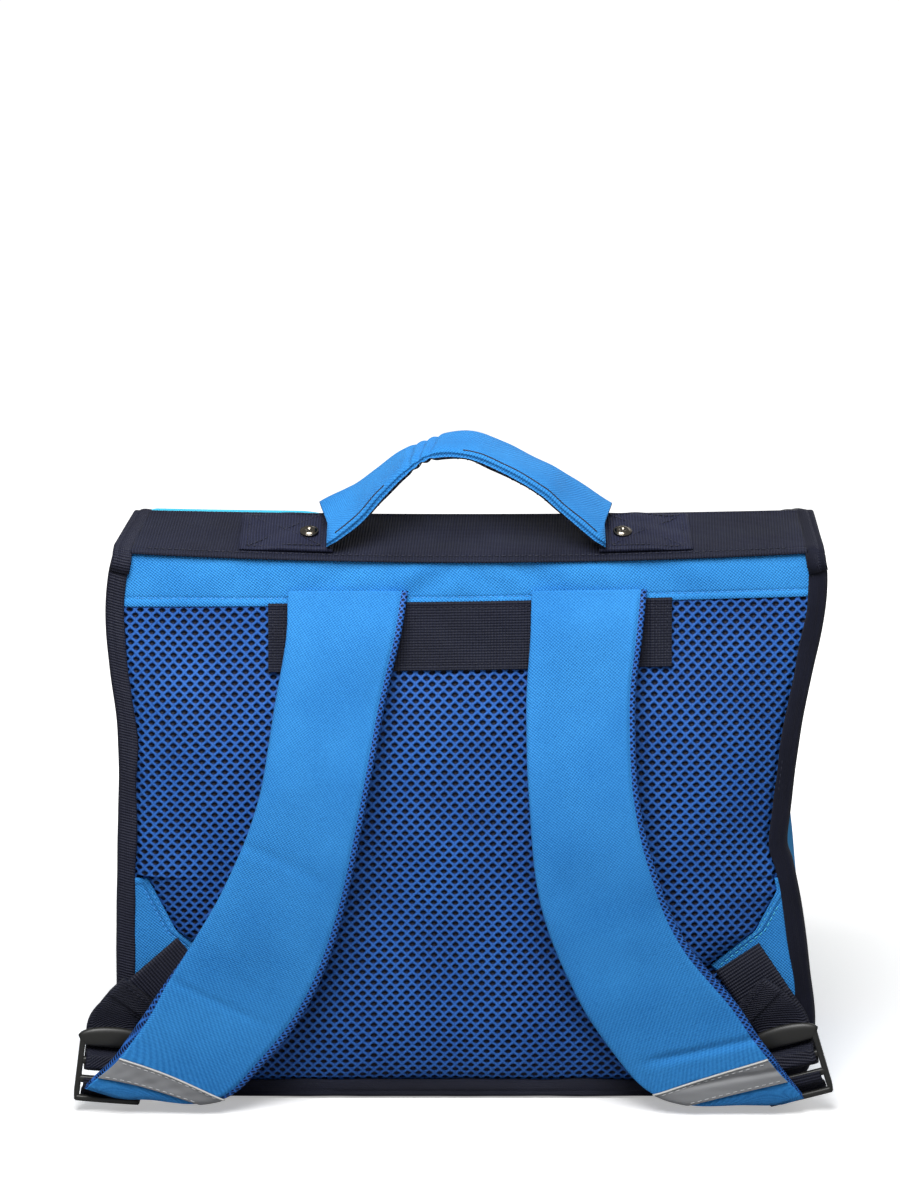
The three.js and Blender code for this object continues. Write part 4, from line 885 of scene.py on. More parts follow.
across, along = np.meshgrid(np.linspace(-1, 1, 150), stretched((0, 0.1, 0.46, 0.86, 1), (16, 60, 60, 30)))
base = flapPlace(across, along, flap["inset"])
normal = flapNormal(across, along)
free = ease((along - 0.14) / 0.1) * ease((1 - np.abs(across)) / 0.12) * ease((1.01 - along) / 0.06)
waves = softNoise(base[..., 0], along * 420, 75, 61)
ruck = flap["ruck"] * bell(along, 0.15, 0.045) * ease((-66 - base[..., 0]) / 24)
ruck = ruck * ease((base[..., 0] + 176) / 8)
face = base + normal * (flap["soft"] * free * (0.4 + 0.6 * waves) + ruck)[..., None]
inside = base - normal * (flap["wall"] - 0.2)
sheetPiece("flap_cloth", face, inside, cyanTwill, "flap")

alongs = stretched((0, 0.1, 0.46, 0.9, 1), (14, 60, 50, 26))
acrosses = np.concatenate([-1 + 0 * alongs, np.linspace(-1, 1, 90)[1:-1], 1 + 0 * alongs])
alongs = np.concatenate([alongs, np.ones(88), alongs[::-1]])
flapEdge = flapPlace(acrosses, alongs)
flapUp = flapNormal(acrosses, alongs)
lapOver = np.array([(0, -3.5, -1.5), (0, -6.4, -2.7), (0, -7.6, -4.6), (0.6, -7.9, -7.5),
                    (1.6, -7.9, -12.0)])
lapUp = unit(np.array([(0, -0.39, 0.92), (0, -0.5, 0.86), (0, -0.85, 0.5), (0, -1, 0.05), (0, -1, 0)]))
lapLeft, lapRight = lapOver * (-1, 1, 1) + flapEdge[0], lapOver + flapEdge[-1]
flapEdge = np.concatenate([lapLeft[::-1], flapEdge, lapRight])
flapUp = np.concatenate([lapUp[::-1], flapUp, lapUp])
flapIn = unit(np.cross(unit(np.gradient(flapEdge, axis=0)), flapUp))
foldedTape("flap_binding_tape", flapEdge, flapIn, flapUp, gap + 1.2, -flap["wall"] - gap - 1.2,
           bag["lip"], bag["lip"], 7, "flap_binding")
print("flap ready")

# Sloping strip between the fold and the ridge: x across, run up the slope, lift off it
slopeRise = (flapRows[1, 2] - flapRows[0, 2]) * backHeight
slopeRun = (flapRows[1, 1] - flapRows[0, 1]) * halfDepth
slopeAngle = math.atan2(slopeRise, slopeRun)
slopeStart = backFace - 2 * gap - 1.5
slopeOut = np.array([0.0, -math.sin(slopeAngle), math.cos(slopeAngle)])
topTape = {"width": 45.5, "wall": 1.6, "lift": 0.45, "foldBelow": 0.6, "seam": 3.0, "thin": 0.2,
           "edges": (1.0, 44.5)}


# Height is mixed between the flap's first two rows by depth, with the sag times x squared
def slopePlace(x, run, lift):
    y = slopeStart + run * math.cos(slopeAngle)
    t = (y / halfDepth - flapRows[0, 1]) / (flapRows[1, 1] - flapRows[0, 1])
    sag = bag["foldSag"] * mix(flapRows[0, 5], flapRows[1, 5], t) * (x / halfWidth) ** 2
    z = backHeight * mix(flapRows[0, 2], flapRows[1, 2], t) + sag
    points = np.stack(np.broadcast_arrays(x, y, z), -1)
    return points + np.asarray(lift)[..., None] * slopeOut


v, u = shareGrid(50, 300)
leftEnd = -halfWidth * mix(flapRows[0, 3], flapRows[1, 3], v) + bag["lip"] - 1
rightEnd = halfWidth * mix(flapRows[0, 4], flapRows[1, 4], v) - bag["lip"] + 1
x = mix(leftEnd, rightEnd, u)
run = mix(0.2, topTape["width"], v)
selvedge = sum(0.25 * bell(run, edge, 0.8) for edge in topTape["edges"])
sewnDown = 0.3 * bell(run, topTape["seam"], 0.6)
wave = 0.25 * softNoise(x, run * 1.5, 48, 71) * np.sin(math.pi * v)
tapeTop = topTape["lift"] + topTape["wall"] - topTape["thin"]
face = slopePlace(x, run, tapeTop + selvedge - sewnDown + wave)
under = slopePlace(x, run, topTape["lift"])
down = np.array([0.0, 0.35, 0.7, 1.0])[:, None]  # shares of the tape's drop over the fold
drop = (face[0, :, 2] - foldZ(x[0]) + topTape["foldBelow"])[None]
bendY, bendZ = face[:1, :, 1] - 1.5 * np.sin(down * 2.2), face[:1, :, 2] - drop * down ** 1.3
bend = np.stack([x[:4], bendY, bendZ], -1)[:0:-1]
face, under = np.concatenate([bend, face]), np.concatenate([bend + (0, 1.2, 0), under])
sheetPiece("top_webbing_tape", face, under, navyWide, "top_webbing")
line = slopePlace(np.linspace(-168, 168, 300), np.full(300, topTape["seam"]), tapeTop)
stitchPiece("top_webbing_stitches", [stitchRow(line, slopeOut, 2.6, 0.9, 0.25)], navyThread)

# Folded tabs at the handle's ends, sewn with a box and a cross, and held by rivets
grip = {"span": 146.0, "rise": 41.0, "width": 36.0, "thick": 8.0, "squareness": 0.6}
tab = {"width": 38.0, "length": 54.0, "wall": 3.0, "overlap": 8.0, "near": 3.0, "short": 5.0,
       "boxHalf": 16.0, "boxNear": 3.0, "boxFar": 42.0, "stepAt": 0.5, "stepReach": 0.35, "thin": 0.45}
tabLift = 0.75 + topTape["wall"]
tabTop = tabLift + tab["wall"]
slopeMiddle = topTape["width"] / 2


# Share of a tab's full height at a share along it: folded double first, then single
def tabStep(t):
    return mix(1.0, tab["thin"], ease((t - tab["stepAt"]) / tab["stepReach"]))


for name, side in sides:
    v, t = shareGrid(44, 60)
    w = 2 * v - 1
    x = side * (grip["span"] / 2 - tab["near"] + (tab["length"] - tab["short"]) * t)
    run = slopeMiddle + w * tab["width"] / 2 * (1 - 0.03 * t)
    rim = ease((1 - np.abs(w)) / 0.08) * ease(t / 0.05) * ease((1 - t) / 0.04)
    creased = 0.35 * softNoise(x, run, 18, 81 + side)
    edge = np.minimum((1 - np.abs(w)) * tab["width"] / 2, (1 - t) * tab["length"])
    lift = tab["wall"] * tabStep(t) * mix(0.6, 1.0, rim) + (creased - 0.35 * bell(edge, 3.0, 0.6)) * rim
    face, under = slopePlace(x, run, tabLift + lift), slopePlace(x, run, tabLift + 0 * x * w)
    sheetPiece(f"handle_tab_cloth_{name}", face, under, navyTab, f"handle_tab_{name}")
    near, far = (side * (grip["span"] / 2 + tab[end]) for end in ("boxNear", "boxFar"))
    low, high = slopeMiddle - tab["boxHalf"], slopeMiddle + tab["boxHalf"]
    corners = [(near, low), (far, low), (far, high), (near, high), (near, low)]
    legs = list(zip(corners[:-1], corners[1:])) + [(corners[0], corners[2]), (corners[3], corners[1])]
    lines = []
    for (x0, run0), (x1, run1) in legs:
        s = np.linspace(0, 1, 30)
        x, run = mix(x0, x1, s), mix(run0, run1, s)
        t = (np.abs(x) - grip["span"] / 2 + tab["overlap"]) / tab["length"]
        lift = tabLift + tab["wall"] * tabStep(t)
        lines.append(stitchRow(slopePlace(x, run, lift + 0.1), slopeOut, 2.2, 0.8, 0.28))
    stitchPiece(f"handle_tab_stitches_{name}", lines, navyThread)

# Rivets: a rolled rim round a low dome with a dimple in its middle, turned about its own axis
rivet = {"radius": 5.0, "height": 2.2, "sides": 40, "fromGrip": 9.75, "setBack": 3.5}
radii = rivet["radius"] * np.array(
    [0.0, 0.10, 0.22, 0.34, 0.52, 0.70, 0.80, 0.87, 0.93, 0.98, 1.0, 0.98, 0.5])
heights = rivet["height"] * np.array(
    [0.42, 0.44, 0.62, 0.88, 0.96, 0.82, 0.60, 0.50, 0.56, 0.46, 0.25, 0.0, 0.0])
angle = np.arange(rivet["sides"]) * 2 * math.pi / rivet["sides"]
for name, side in sides:
    seat = slopePlace(np.array(side * (grip["span"] / 2 + rivet["fromGrip"])),
                      np.array(slopeMiddle - rivet["setBack"]), tabTop + 0.3)
    upSlope = np.array([0.0, math.cos(slopeAngle), math.sin(slopeAngle)])
    ring = np.cos(angle)[:, None] * np.array([1.0, 0, 0]) + np.sin(angle)[:, None] * upSlope
    rings = seat + ring[None] * np.maximum(radii, 0.02)[:, None, None] + slopeOut * heights[:, None, None]
    sweptPiece(f"rivet_dome_{name}", rings, darkMetal, f"rivet_{name}")
print("top tape, tabs and rivets ready")

# Handle: a soft flat tube with its seam along the side that faces the camera
gripRows = np.array([
    (-1.00, 0.00, 23), (-0.78, 0.26, 18), (-0.62, 0.51, 11), (-0.44, 0.77, 5), (-0.26, 0.95, 1),
    (0.00, 1.00, 7), (0.27, 0.84, 10), (0.57, 0.55, 13), (0.72, 0.36, 18), (1.00, 0.00, 23),
])
handle = {"steps": 300, "around": 104, "groove": 0.9, "grooveReach": 0.10, "kink": -0.30, "kinkDepth": 6.6,
          "kinkReach": 0.024, "soft": 0.35, "seam": 0.42, "tiltMore": 5, "flare": 0.14}
share = np.linspace(-1, 1, handle["steps"])
rise, tilt = np.moveaxis(tableAt(gripRows, share), -1, 0)
tilt = np.radians(tilt + handle["tiltMore"])
start = slopePlace(np.array(grip["span"] / 2), np.array(slopeMiddle), tabTop + gap + grip["thick"] / 2)
centre = np.stack([share * grip["span"] / 2, start[1] + 0 * share, start[2] + rise * grip["rise"]], -1)
run = unit(np.gradient(centre, axis=0))
run[[0, -1]] = (1, 0, 0)
across = np.stack([0 * share, np.cos(tilt), np.sin(tilt)], -1)
out = unit(np.cross(run, across))
sideways = unit(np.cross(out, run))
angle = np.arange(handle["around"]) * 2 * math.pi / handle["around"] + 1e-3
wide = squared(np.cos(angle), grip["squareness"])[None, :]
high = squared(np.sin(angle), grip["squareness"])[None, :]
groove = handle["groove"] * bell(angle[None, :], math.pi, handle["grooveReach"])
kinks = np.zeros((handle["steps"], 1))
for offset, size in ((0.0, 1.0), (0.075, 0.7), (-0.07, 0.55)):
    slant = 0.05 * np.cos(angle)[None, :]
    kinks = kinks + size * bell(share[:, None] - handle["kink"] - offset, slant, handle["kinkReach"])
soft = handle["soft"] * softNoise(share[:, None] * 73 + 0 * angle[None, :], angle[None, :] * 8, 22, 91)
broad = grip["width"] / 2 * (1 + handle["flare"] * share[:, None] ** 2)
sideOffset = wide * (broad - groove + 0.3 * soft) + 1.2 * kinks * (wide < 0)
outOffset = high * (grip["thick"] / 2 + soft - 0.35 * handle["kinkDepth"] * kinks)
rings = centre[:, None] + sideways[:, None] * sideOffset[..., None] + out[:, None] * outOffset[..., None]
kind = ((angle > 1.03 * math.pi) & (angle < 1.5 * math.pi)).astype(np.int32)[None, :]  # lining underneath
gripPiece = sweptPiece("handle_grip_cloth", rings, (blueTwill, navyMesh), "handle_grip", kind)
seamColumn, glintColumn = (int(round(half * handle["around"] / 2)) for half in (0.80, 1.16))
# Small grey beads in rows on the lining underneath: painted glints of light through its mesh
glintBeads = [stitchRow(rings[first:last, glintColumn], -sideways[first:last], 0.9, 4.2, 0.3)
        for first, last in ((40, 100), (130, 250))]
stitchPiece("handle_lining_glints", glintBeads, greyThreadAndGlints)
for name, first, last in (("left", 4, 62), ("right", 146, -4)):
    ring = roundRing(out[first:last], sideways[first:last], 8) * handle["seam"]
    sweptPiece(f"handle_seam_{name}", rings[first:last, seamColumn][:, None] + ring, navyThread)
print("handle ready")


# Tape across the back behind the straps, with a folded and sewn box at both ends
crossTape = {"width": 212.0, "height": 36.0, "wall": 1.2, "box": 11.0, "boxRise": 0.7,
             "seams": (3.0, 32.5), "endSeams": (2.2, 8.6)}
v, u = shareGrid(44, 260)
x = mix(-0.49, 0.51, u) * crossTape["width"] + 0 * v
z = seamZ(x) - 2 * gap - crossTape["height"] * (1 - v)
fromEnd = np.minimum(u, 1 - u) * crossTape["width"] + 0 * v
low = (v * crossTape["height"]) + 0 * u
box = crossTape["boxRise"] * (1 - ease((fromEnd - crossTape["box"]) / 0.8))
lines = sum(bell(low, seam, 0.6) for seam in crossTape["seams"])
lines = lines + sum(bell(fromEnd, seam, 0.6) for seam in crossTape["endSeams"])
lift = crossTape["wall"] + box - 0.25 * np.minimum(lines, 1) + 0.2 * softNoise(x, z, 25, 101)
base = backFace - gap - padLift(x, z)
tapeFace = np.stack([x, base - gap - lift, z], -1)
sheetPiece("strap_tape_cloth", tapeFace, np.stack([x, base - 0.1, z], -1), navyCross, "strap_tape")
paths = [tapeFace[row, 6:-6] for row in (4, 39)] + [tapeFace[3:-3, column] for column in (3, 10, -4, -11)]
rows = [stitchRow(path + (0, -0.05, 0), (0, -1, 0), 2.4, 0.9, 0.24) for path in paths]
stitchPiece("strap_tape_stitches", rows, navyThread)

# A strap's section, laid out by the distance round it: place and outward direction in its own frame
sectionTurn = np.linspace(0, 4, 3001)
quarter = np.floor(sectionTurn)
turnAngle = (quarter + np.sin((sectionTurn - quarter) * math.pi / 2) ** 2) * math.pi / 2
sectionX = squared(np.cos(turnAngle), strap["squareness"])
sectionZ = squared(np.sin(turnAngle), strap["squareness"])
nominal = np.stack([sectionX * 33, sectionZ * 4.2], -1)
sectionRun = runAlong(nominal)
girth = sectionRun[-1]
tangent = unit(np.gradient(nominal, axis=0))


# Place and outward direction on a strap's unit section, at a length round it
def sectionAt(s):
    s = s % girth
    x, z = np.interp(s, sectionRun, sectionX), np.interp(s, sectionRun, sectionZ)
    return x, z, np.interp(s, sectionRun, tangent[:, 1]), -np.interp(s, sectionRun, tangent[:, 0])


# Middle, directions across and out, width and thickness of a strap at shares along it,
# with the direction along it taken from steps of 0.01 before and after
def strapFrames(side, t):
    def place(at):
        outerX, outerZ, innerX, innerZ, off, thick = np.moveaxis(tableAt(strapRows[side], at), -1, 0)
        thick = thick * strap["thickness"]
        y = backFace - off * strap["standOff"] + thick / 2
        return (np.stack([side * outerX * halfWidth, y, outerZ * backHeight], -1),
                np.stack([side * innerX * halfWidth, y, innerZ * backHeight], -1), thick)

    outer, inner, thick = place(t)
    before, after = place(np.maximum(t - 0.01, 0)), place(np.minimum(t + 0.01, 1))
    run = unit(after[0] + after[1] - before[0] - before[1])
    width = np.linalg.norm(outer - inner, axis=-1)
    across = unit(outer - inner)
    out = unit(np.cross(run, across))
    return (outer + inner) / 2, across, out * np.where(out[..., 1:2] > 0, -1, 1), width, thick


# Soft shape on top of a strap's section: slow waves, and the right one's two folds near its tip
strapSoft = {"wave": 0.45, "fold": 1.5, "foldReach": 0.010}
strapFolds = {left: ((0.60, 0.10, 0.35), (0.33, -0.12, 0.3)),  # share along, slant, size
              right: ((0.735, 0.16, 1.0), (0.815, 0.20, 0.8))}


# Waves less the folds, on the face and the back only and fading towards the upper end
def strapLift(side, t, s):
    x, z, _, nz = sectionAt(s)
    lift = strapSoft["wave"] * softNoise(t * 330 + 0 * s, x * 33, 60, 111 + side)
    for place, slant, size in strapFolds[side]:
        fold = size * bell(t - place, slant * 0.2 * x, strapSoft["foldReach"])
        lift = lift - strapSoft["fold"] * fold * ease((x + 0.9) / 0.6)
    return lift * np.clip(nz * np.sign(z), 0, 1) * ease(t / 0.08)


# A place on a strap: middle + across * half width * section x + out * half thickness * section z,
# with the lift along the section's outward direction
def strapSurface(side, t, s, lift):
    centre, across, out, width, thick = strapFrames(side, t)
    x, z, nx, nz = sectionAt(s)
    tip = ease((t - strap["tip"]) / (1 - strap["tip"]))
    wide = x * width / 2 * (1 - 0.1 * tip) + nx * lift
    high = z * thick / 2 * (1 - 0.5 * tip ** 2) + nz * lift
    return centre + across * wide[..., None] + out * high[..., None]


# How far the lining shows round each edge of a strap's face, by share along it
liningRows = {
    left: np.array([(0.0, -2.0, 5.4), (0.35, -2.0, 5.4), (0.60, 0.5, 5.4), (0.70, 4.6, 5.0),
                    (0.82, 5.2, 2.0), (1.0, 5.2, 1.0)]),
    right: np.array([(0.0, 5.4, -2.0), (0.5, 5.4, -2.0), (0.8, 5.2, -1.0), (1.0, 4.5, 0.0)]),
}
for name, side in sides:
    t = np.linspace(0, 1, strap["rows"])[:, None]
    atOuter, atInner = np.moveaxis(tableAt(liningRows[side], t[:, 0]), -1, 0)
    first = atOuter[:, None]
    second = girth / 2 - atInner[:, None]
    face = mix(first, second, np.linspace(0, 1, strap["face"] + 1)[None, :])
    rear = mix(second, first + girth, np.linspace(0, 1, strap["back"] + 1)[None, 1:-1])
    s = np.concatenate([face, rear], 1)
    t = t + 0 * s
    fromSeam = np.minimum.reduce([np.abs(s - seam) for seam in (first, second, first + girth)])
    onFace = (np.arange(s.shape[1]) <= strap["face"])[None, :]
    lift = strapLift(side, t, s) - 0.55 * bell(fromSeam, 0, 0.9)
    lift = lift + np.where(onFace, 0.3 * bell(fromSeam, 2.6, 1.6), 0.35 * bell(fromSeam, 2.4, 1.6))
    rings = strapSurface(side, t, s, lift * ease(np.minimum(t, 1 - t) / 0.02))
    kind = (np.arange(s.shape[1]) >= strap["face"]).astype(np.int32)[None, :]
    piece = sweptPiece(f"strap_cloth_{name}", rings, (blueTwill, blueBraid), f"shoulder_strap_{name}", kind)
print("straps ready")

# Reflective band round each strap's lower end, with pale piping along its upper edge.
# Its corners are shares along the strap: top outer, top inner, foot outer, foot inner.
reflective = {left: (0.832, 0.762, 0.918, 0.822), right: (0.812, 0.776, 0.895, 0.840),
              "wall": 1.2, "thin": 0.3, "piping": 0.5, "from": 5.6, "turn": 0.94}
for name, side in sides:
    to = np.interp(reflective["turn"] * math.pi, turnAngle, sectionRun)
    topOuter, topInner, footOuter, footInner = reflective[side]
    v, u = shareGrid(40, 90)
    t = mix(mix(topOuter, topInner, u), mix(footOuter, footInner, u), v)
    s = mix(reflective["from"], to, u) + 0 * v
    body = strapLift(side, t, s)
    crease = 0.18 * softNoise(s, t * 300, 16, 121 + side) * np.sin(math.pi * v)
    outerFace = strapSurface(side, t, s, body + gap + reflective["wall"] - reflective["thin"] + crease)
    under = strapSurface(side, t, s, body + 0.1)
    sheetPiece(f"reflective_band_cloth_{name}", outerFace, under, reflectiveGrey, f"reflective_band_{name}")
    _, _, away, _, _ = strapFrames(side, t)
    path, down = outerFace[1], np.gradient(outerFace, axis=0)[1]
    heading = unit(np.gradient(path, axis=0))
    lifted = unit(np.cross(heading, down))
    lifted = lifted * np.where(np.einsum("ij,ij->i", lifted, away[1]) < 0, -1, 1)[:, None]
    ring = roundRing(lifted, np.cross(heading, lifted), 10) * reflective["piping"]
    sweptPiece(f"reflective_piping_upper_{name}", path[:, None] + ring, reflectivePiping)
    rows = [stitchRow(outerFace[index, 3:-3], away[index, 3:-3], 2.6, 1.3, 0.25) for index in (5, -6)]
    stitchPiece(f"reflective_stitches_{name}", rows, greyThreadAndGlints)

# Ladder buckles: rounded rails and bars, and a domed thumb plate above them
buckle = {"width": 36.0, "height": 34.0, "thick": 4.5, "rail": 3.0, "bar": 4.0, "slot": 6.0, "thumb": 7.0}
buckleRows = {left: (1.0, 0.072, 0.550, 7, 8, 12), right: (0.920, 0.078, 0.580, 16, 12, 14)}
upper = buckle["height"] / 2 - buckle["bar"] - buckle["slot"] / 2
middle = upper - buckle["bar"] - buckle["slot"]
lower = middle - buckle["bar"] - buckle["slot"]


# Place and directions of a buckle: along its width, up its length and out of its face
def buckleFrame(side):
    x, z, off, roll, lean, turn = buckleRows[side]
    roll, lean, turn = (math.radians(a) for a in (roll, lean, turn))
    rise = math.cos(roll)
    up = np.array([-side * math.sin(roll), rise * math.sin(lean), rise * math.cos(lean)])
    across = np.array([math.cos(turn), -side * math.sin(turn), 0])
    across = unit(across - across.dot(up) * up)
    place = np.array([side * x * halfWidth, backFace - off * strap["standOff"], z * backHeight])
    return place, across, up, np.cross(across, up)


# Closed rounded bar: rings along a path in the buckle's own plane, with half sizes in and out of it
def roundedBar(path, halfIn, halfOut, corner=0.45, sides=20):
    path = np.asarray(path, float)
    along = unit(np.gradient(path, axis=0))
    inPlane = np.stack([-along[:, 1], along[:, 0], 0 * along[:, 0]], -1)
    outPlane = unit(np.cross(along, inPlane))
    turn = np.arange(sides) * 2 * math.pi / sides + 1e-3
    a = squared(np.cos(turn), corner)[None, :, None] * np.reshape(halfIn, (-1, 1, 1))
    b = squared(np.sin(turn), corner)[None, :, None] * np.reshape(halfOut, (-1, 1, 1))
    return path[:, None] + inPlane[:, None] * a + outPlane[:, None] * b


# The buckle in its own plane: two rails, three bars, and a thumb plate that rises as a dome
def buckleBars():
    w, h, t = buckle["width"] / 2, buckle["height"] / 2, buckle["thick"] / 2
    bars, thin = [], buckle["rail"] / 2
    y = np.linspace(-h + 0.6, h + 0.5, 26)
    for side in (left, right):
        taper = 1 - 0.35 * bell(y, -h, 3.0)
        path = np.stack([0 * y + side * (w - thin), y, 0.25 * np.sin(y / 6)], -1)
        bars.append(roundedBar(path, thin * taper, t * taper))
    x = np.linspace(-w + 1.2, w - 1.2, 30)
    for place, size in ((upper - buckle["slot"] / 2 - buckle["bar"] / 2, 1.0),
                        (middle - buckle["slot"] / 2 - buckle["bar"] / 2, 1.0), (-h + 1.7, 0.85)):
        path = np.stack([x, 0 * x + place, 0.7 * (1 - (x / w) ** 2)], -1)
        bars.append(roundedBar(path, size * buckle["bar"] / 2, t * 0.9, 0.7))
    x = np.linspace(-w + 0.4, w - 0.4, 34)
    dome = np.sqrt(np.maximum(1 - (x / w) ** 2, 0))
    rise = buckle["bar"] / 2 + (buckle["thumb"] / 2) * dome ** 0.8
    place = h - buckle["bar"] / 2 + (rise - buckle["bar"] / 2)
    bars.append(roundedBar(np.stack([x, place, 1.4 * dome], -1), rise, t * (0.75 + 0.4 * dome), 0.75, 28))
    return bars


# Webbing through a list of stations, smoothed, with slightly raised edges and a folded free end
def webbingStrip(name, stations, width, wall, cover, hem, steps, seed):
    centres = np.array([place for place, _ in stations])
    acrosses = np.array([direction for _, direction in stations])
    run = runAlong(centres)
    at = np.unique(np.concatenate([np.linspace(0, run[-1], steps), run]))
    values = tableAt(np.column_stack([run, centres, acrosses]), at)
    centre, across = values[:, :3], unit(values[:, 3:])
    along = unit(np.gradient(centre, axis=0))
    out = unit(np.cross(along, across))
    side = np.cross(out, along)
    share = np.linspace(-1, 1, 15)
    edge = 1 + 0.16 * bell(np.abs(share), 0.9, 0.07) - 0.35 * (np.abs(share) > 0.99)
    double = 1 + 0.9 * ease((at - (run[-1] - hem)) / 1.2) if hem else 1 + 0 * at
    sag = 0.15 * softNoise(at, 0 * at, 22, 131 + seed)
    a = np.concatenate([share, share[::-1]]) * width / 2
    b = np.concatenate([-edge, edge[::-1]]) * wall / 2
    rings = (centre[:, None] + side[:, None] * a[None, :, None]
             + out[:, None] * (b[None, :] * double[:, None] + sag[:, None])[..., None])
    sweptPiece(name, rings, navyRibbed, cover)
    return centre, side, out, run[-1] - at


# Routes through a buckle: a slot's height, slots above it, depth behind the face and drift, in shares
adjusterLoop = (
    (upper, 2.333, 2.10, 0), (upper, 0.500, 1.90, 0), (middle, 0.833, 1.60, 0), (middle, 0.250, 1.08, 0),
    (middle, 0.033, 0.30, 0), (middle, 0.133, -0.30, 0), (middle, 0.333, -1.03, 0), (middle, 0.833, -1.08, 0),
    (upper, -0.333, -1.03, 0), (upper, -0.133, -0.30, 0), (upper, 0.067, 0.30, 0), (upper, 0.333, 1.00, 0),
    (upper, 1.000, 1.08, 0), (upper, 2.333, 1.05, 0), (upper, 3.900, 0.00, 0.35), (upper, 5.667, -1.20, 1.0),
)
tabLoop = (
    (lower, 1.0, -1.25, 0), (lower, 0.25, -0.85, 0), (lower, 0.0, 0.0, 0), (lower, -0.267, 0.98, 0),
    (lower, -1.0, 1.10, 0),
)
adjuster = {"width": 28.0, "wall": 1.6, "bow": 1.0, "drift": 12.0, "hem": 12.0, "hemSeam": 2.5,
            "seamX": 0.766, "seamZ": 0.270, "seamAcross": (0.778, 0.627)}
for name, side in sides:
    place, across, up, face = buckleFrame(side)
    bars = [place + bar @ np.stack([across, up, face]) for bar in buckleBars()]
    bodiesPiece(f"ladder_buckle_body_{name}", bars, blackPlastic, f"ladder_buckle_{name}")
    skin = buckle["thick"] / 2 + gap + adjuster["wall"] / 2

    # Place and direction across for a row of a route: a height up, a depth behind and a drift aside
    def station(row):
        base, slots, depth, drift = row
        spot = place + up * (base + slots * buckle["slot"]) - face * depth * skin
        return spot - across * side * drift * adjuster["drift"], across

    seamY = backFace - pad["rim"] - wing["wall"] - adjuster["wall"] / 2 - 5 * gap
    seam = np.array([side * adjuster["seamX"] * halfWidth, seamY, adjuster["seamZ"] * backHeight])
    seamAcross = np.array([adjuster["seamAcross"][0], 0, side * adjuster["seamAcross"][1]])
    entry = station(adjusterLoop[0])[0]
    lead = [(mix(seam, entry, t) + np.array([0, -adjuster["bow"] * math.sin(math.pi * t), 0]),
             unit(mix(seamAcross, across, t))) for t in (0, 0.12, 0.35, 0.65)]
    line, besides, raised, fromEnd = webbingStrip(
        f"adjuster_tape_{name}", lead + [station(row) for row in adjusterLoop], adjuster["width"],
        adjuster["wall"], f"adjuster_webbing_{name}", adjuster["hem"], 240, side)
    index = np.argmin(np.abs(fromEnd - adjuster["hemSeam"]))
    hemLine = line[index] + besides[index] * np.linspace(-12.5, 12.5, 30)[:, None]
    faces = raised[index], -raised[index]
    stitches = [stitchRow(hemLine + away * 1.55, away, 2.2, 0.9, 0.25) for away in faces]
    stitchPiece(f"adjuster_stitches_{name}", stitches, navyThread)
    webbingStrip(f"buckle_tab_tape_{name}", [station(row) for row in tabLoop], adjuster["width"],
                 adjuster["wall"], f"buckle_tab_{name}", 0, 60, side + 5)
print("bands, buckles and tapes ready")

# Closures of the flap: a catch below its hem, a tongue over it and three grip ridges
clasp = {"spread": 220.0, "half": 16.0, "panel": 75.3, "binding": 85.0, "face": 88.98, "low": 73.4,
         "hem": 89.4, "top": 115.4, "ridges": (100.0, 104.0, 108.0), "ridge": 1.1}
x = np.linspace(-clasp["half"], clasp["half"], 30)
for name, side in sides:
    ends = 1 - 0.5 * ease((np.abs(x) / clasp["half"] - 0.86) / 0.14) ** 2
    blocks = [(clasp["panel"], clasp["face"], clasp["low"], clasp["hem"] + 1, 0.0),
              (clasp["binding"], clasp["face"] + 0.3, clasp["hem"] - 2, clasp["top"], 2.5)]
    near, far, half = clasp["face"] - 1, clasp["face"] + clasp["ridge"], clasp["ridge"]
    blocks += [(near, far, z - half, z + half, 6.0) for z in clasp["ridges"]]
    bars = []
    for near, far, low, high, inset in blocks:
        path = np.stack([x * (1 - inset / clasp["half"]), 0 * x + (low + high) / 2, 0 * x], -1)
        bar = roundedBar(path, (high - low) / 2 * ends, (far - near) / 2 * ends, 0.35, 28)
        bars.append(bar[..., [0, 2, 1]] + (side * clasp["spread"] / 2, (near + far) / 2, 0))
    bodiesPiece(f"clasp_body_{name}", bars, blackPlastic, f"clasp_{name}")

# The stiffening board stays as it is, in the lining's finish
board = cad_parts["back_board"]
board.data.materials.clear()
board.data.materials.append(navyLining)

# Pale floor and backdrop: the camera sees a brighter floor and world than the lights do
studio = {"floor": 0.90, "bounce": 0.36, "glow": 0.37, "far": 0.95, "near": 0.22, "wide": 0.75, "size": 6,
          "world": 0.25, "backdrop": 1.3, "key": 14.5, "fill": 0.8, "back": 7.0}
bpy.context.scene.view_settings.view_transform = "Standard"


# Mix of two shaders: the camera sees the second, and every other ray meets the first
def cameraMix(tree, lit, seen, output):
    choice, rays = tree.nodes.new("ShaderNodeMixShader"), tree.nodes.new("ShaderNodeLightPath")
    tree.links.new(rays.outputs["Is Camera Ray"], choice.inputs[0])
    tree.links.new(lit.outputs[0], choice.inputs[1])
    tree.links.new(seen.outputs[0], choice.inputs[2])
    tree.links.new(choice.outputs[0], output.inputs["Surface"])


# Shader node of a plain grey
def greyNode(tree, kind, grey):
    made = tree.nodes.new(kind)
    made.inputs["Color"].default_value = (grey, grey, grey, 1)
    return made


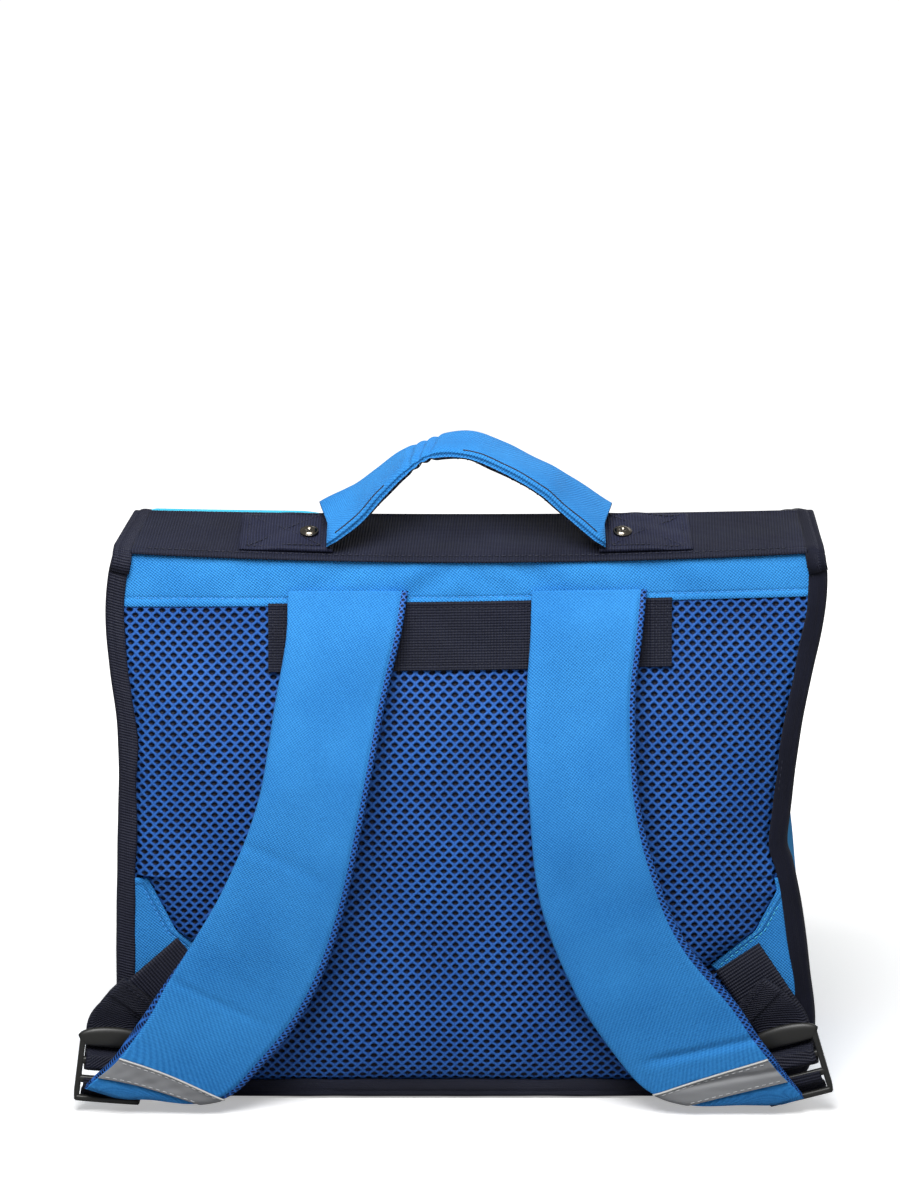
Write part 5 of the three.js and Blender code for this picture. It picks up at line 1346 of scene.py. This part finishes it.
bpy.ops.mesh.primitive_plane_add(size=studio["size"])
floor = bpy.context.object
floor.name = "studio_floor"
floorFinish = bpy.data.materials.new("studio_floor")
floorFinish.use_nodes = True
tree = floorFinish.node_tree
tree.nodes.clear()
seen = greyNode(tree, "ShaderNodeBsdfDiffuse", studio["floor"])
plainLit = greyNode(tree, "ShaderNodeBsdfDiffuse", studio["bounce"])
glow, both = tree.nodes.new("ShaderNodeEmission"), tree.nodes.new("ShaderNodeAddShader")
place, far = tree.nodes.new("ShaderNodeTexCoord"), tree.nodes.new("ShaderNodeMapRange")
length = tree.nodes.new("ShaderNodeVectorMath")
length.operation = "LENGTH"
tree.links.new(place.outputs["Object"], length.inputs[0])
tree.links.new(length.outputs["Value"], far.inputs["Value"])
for socket, value in (("From Min", "near"), ("From Max", "wide"), ("To Min", "glow"), ("To Max", "far")):
    far.inputs[socket].default_value = studio[value]
tree.links.new(far.outputs[0], glow.inputs["Strength"])
tree.links.new(seen.outputs[0], both.inputs[0])
tree.links.new(glow.outputs[0], both.inputs[1])
cameraMix(tree, plainLit, both, tree.nodes.new("ShaderNodeOutputMaterial"))
floor.data.materials.append(floorFinish)
floor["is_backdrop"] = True

world = bpy.data.worlds.new("studio")
bpy.context.scene.world = world
world.use_nodes = True
tree = world.node_tree
ambient = tree.nodes["Background"]
ambient.inputs["Color"].default_value = (1, 1, 1, 1)
ambient.inputs["Strength"].default_value = studio["world"]
backdrop = tree.nodes.new("ShaderNodeBackground")
backdrop.inputs["Strength"].default_value = studio["backdrop"]
cameraMix(tree, ambient, backdrop, tree.nodes["World Output"])

for name, place, aim, size, power in (
        ("key", (-0.12, -0.66, 1.0), (0, -0.08, 0.2), 0.6, studio["key"]),
        ("fill", (1.4, -0.9, 0.9), (0, 0, 0.15), 1.2, studio["fill"]),
        ("back", (0.7, 1.5, 0.9), (0, 0, 0.15), 1.6, studio["back"])):
    data = bpy.data.lights.new(name, "AREA")
    data.size = size
    data.energy = power
    light = bpy.data.objects.new(name, data)
    light.location = place
    light.rotation_euler = (Vector(aim) - Vector(place)).to_track_quat("-Z", "Y").to_euler()
    bpy.context.scene.collection.objects.link(light)

view = {"target": (-0.0084, -0.077, 0.2739), "distance": 1.5, "elevation": 10.0, "lens": 85.7}
data = bpy.data.cameras.new("photo")
data.lens = view["lens"]
data.sensor_width = 36
camera = bpy.data.objects.new("photo", data)
up = math.radians(view["elevation"])
camera.location = Vector(view["target"]) + view["distance"] * Vector((0, -math.cos(up), math.sin(up)))
camera.rotation_euler = (Vector(view["target"]) - camera.location).to_track_quat("-Z", "Y").to_euler()
bpy.context.scene.collection.objects.link(camera)
bpy.context.scene.camera = camera

box = [list(corner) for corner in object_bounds()]
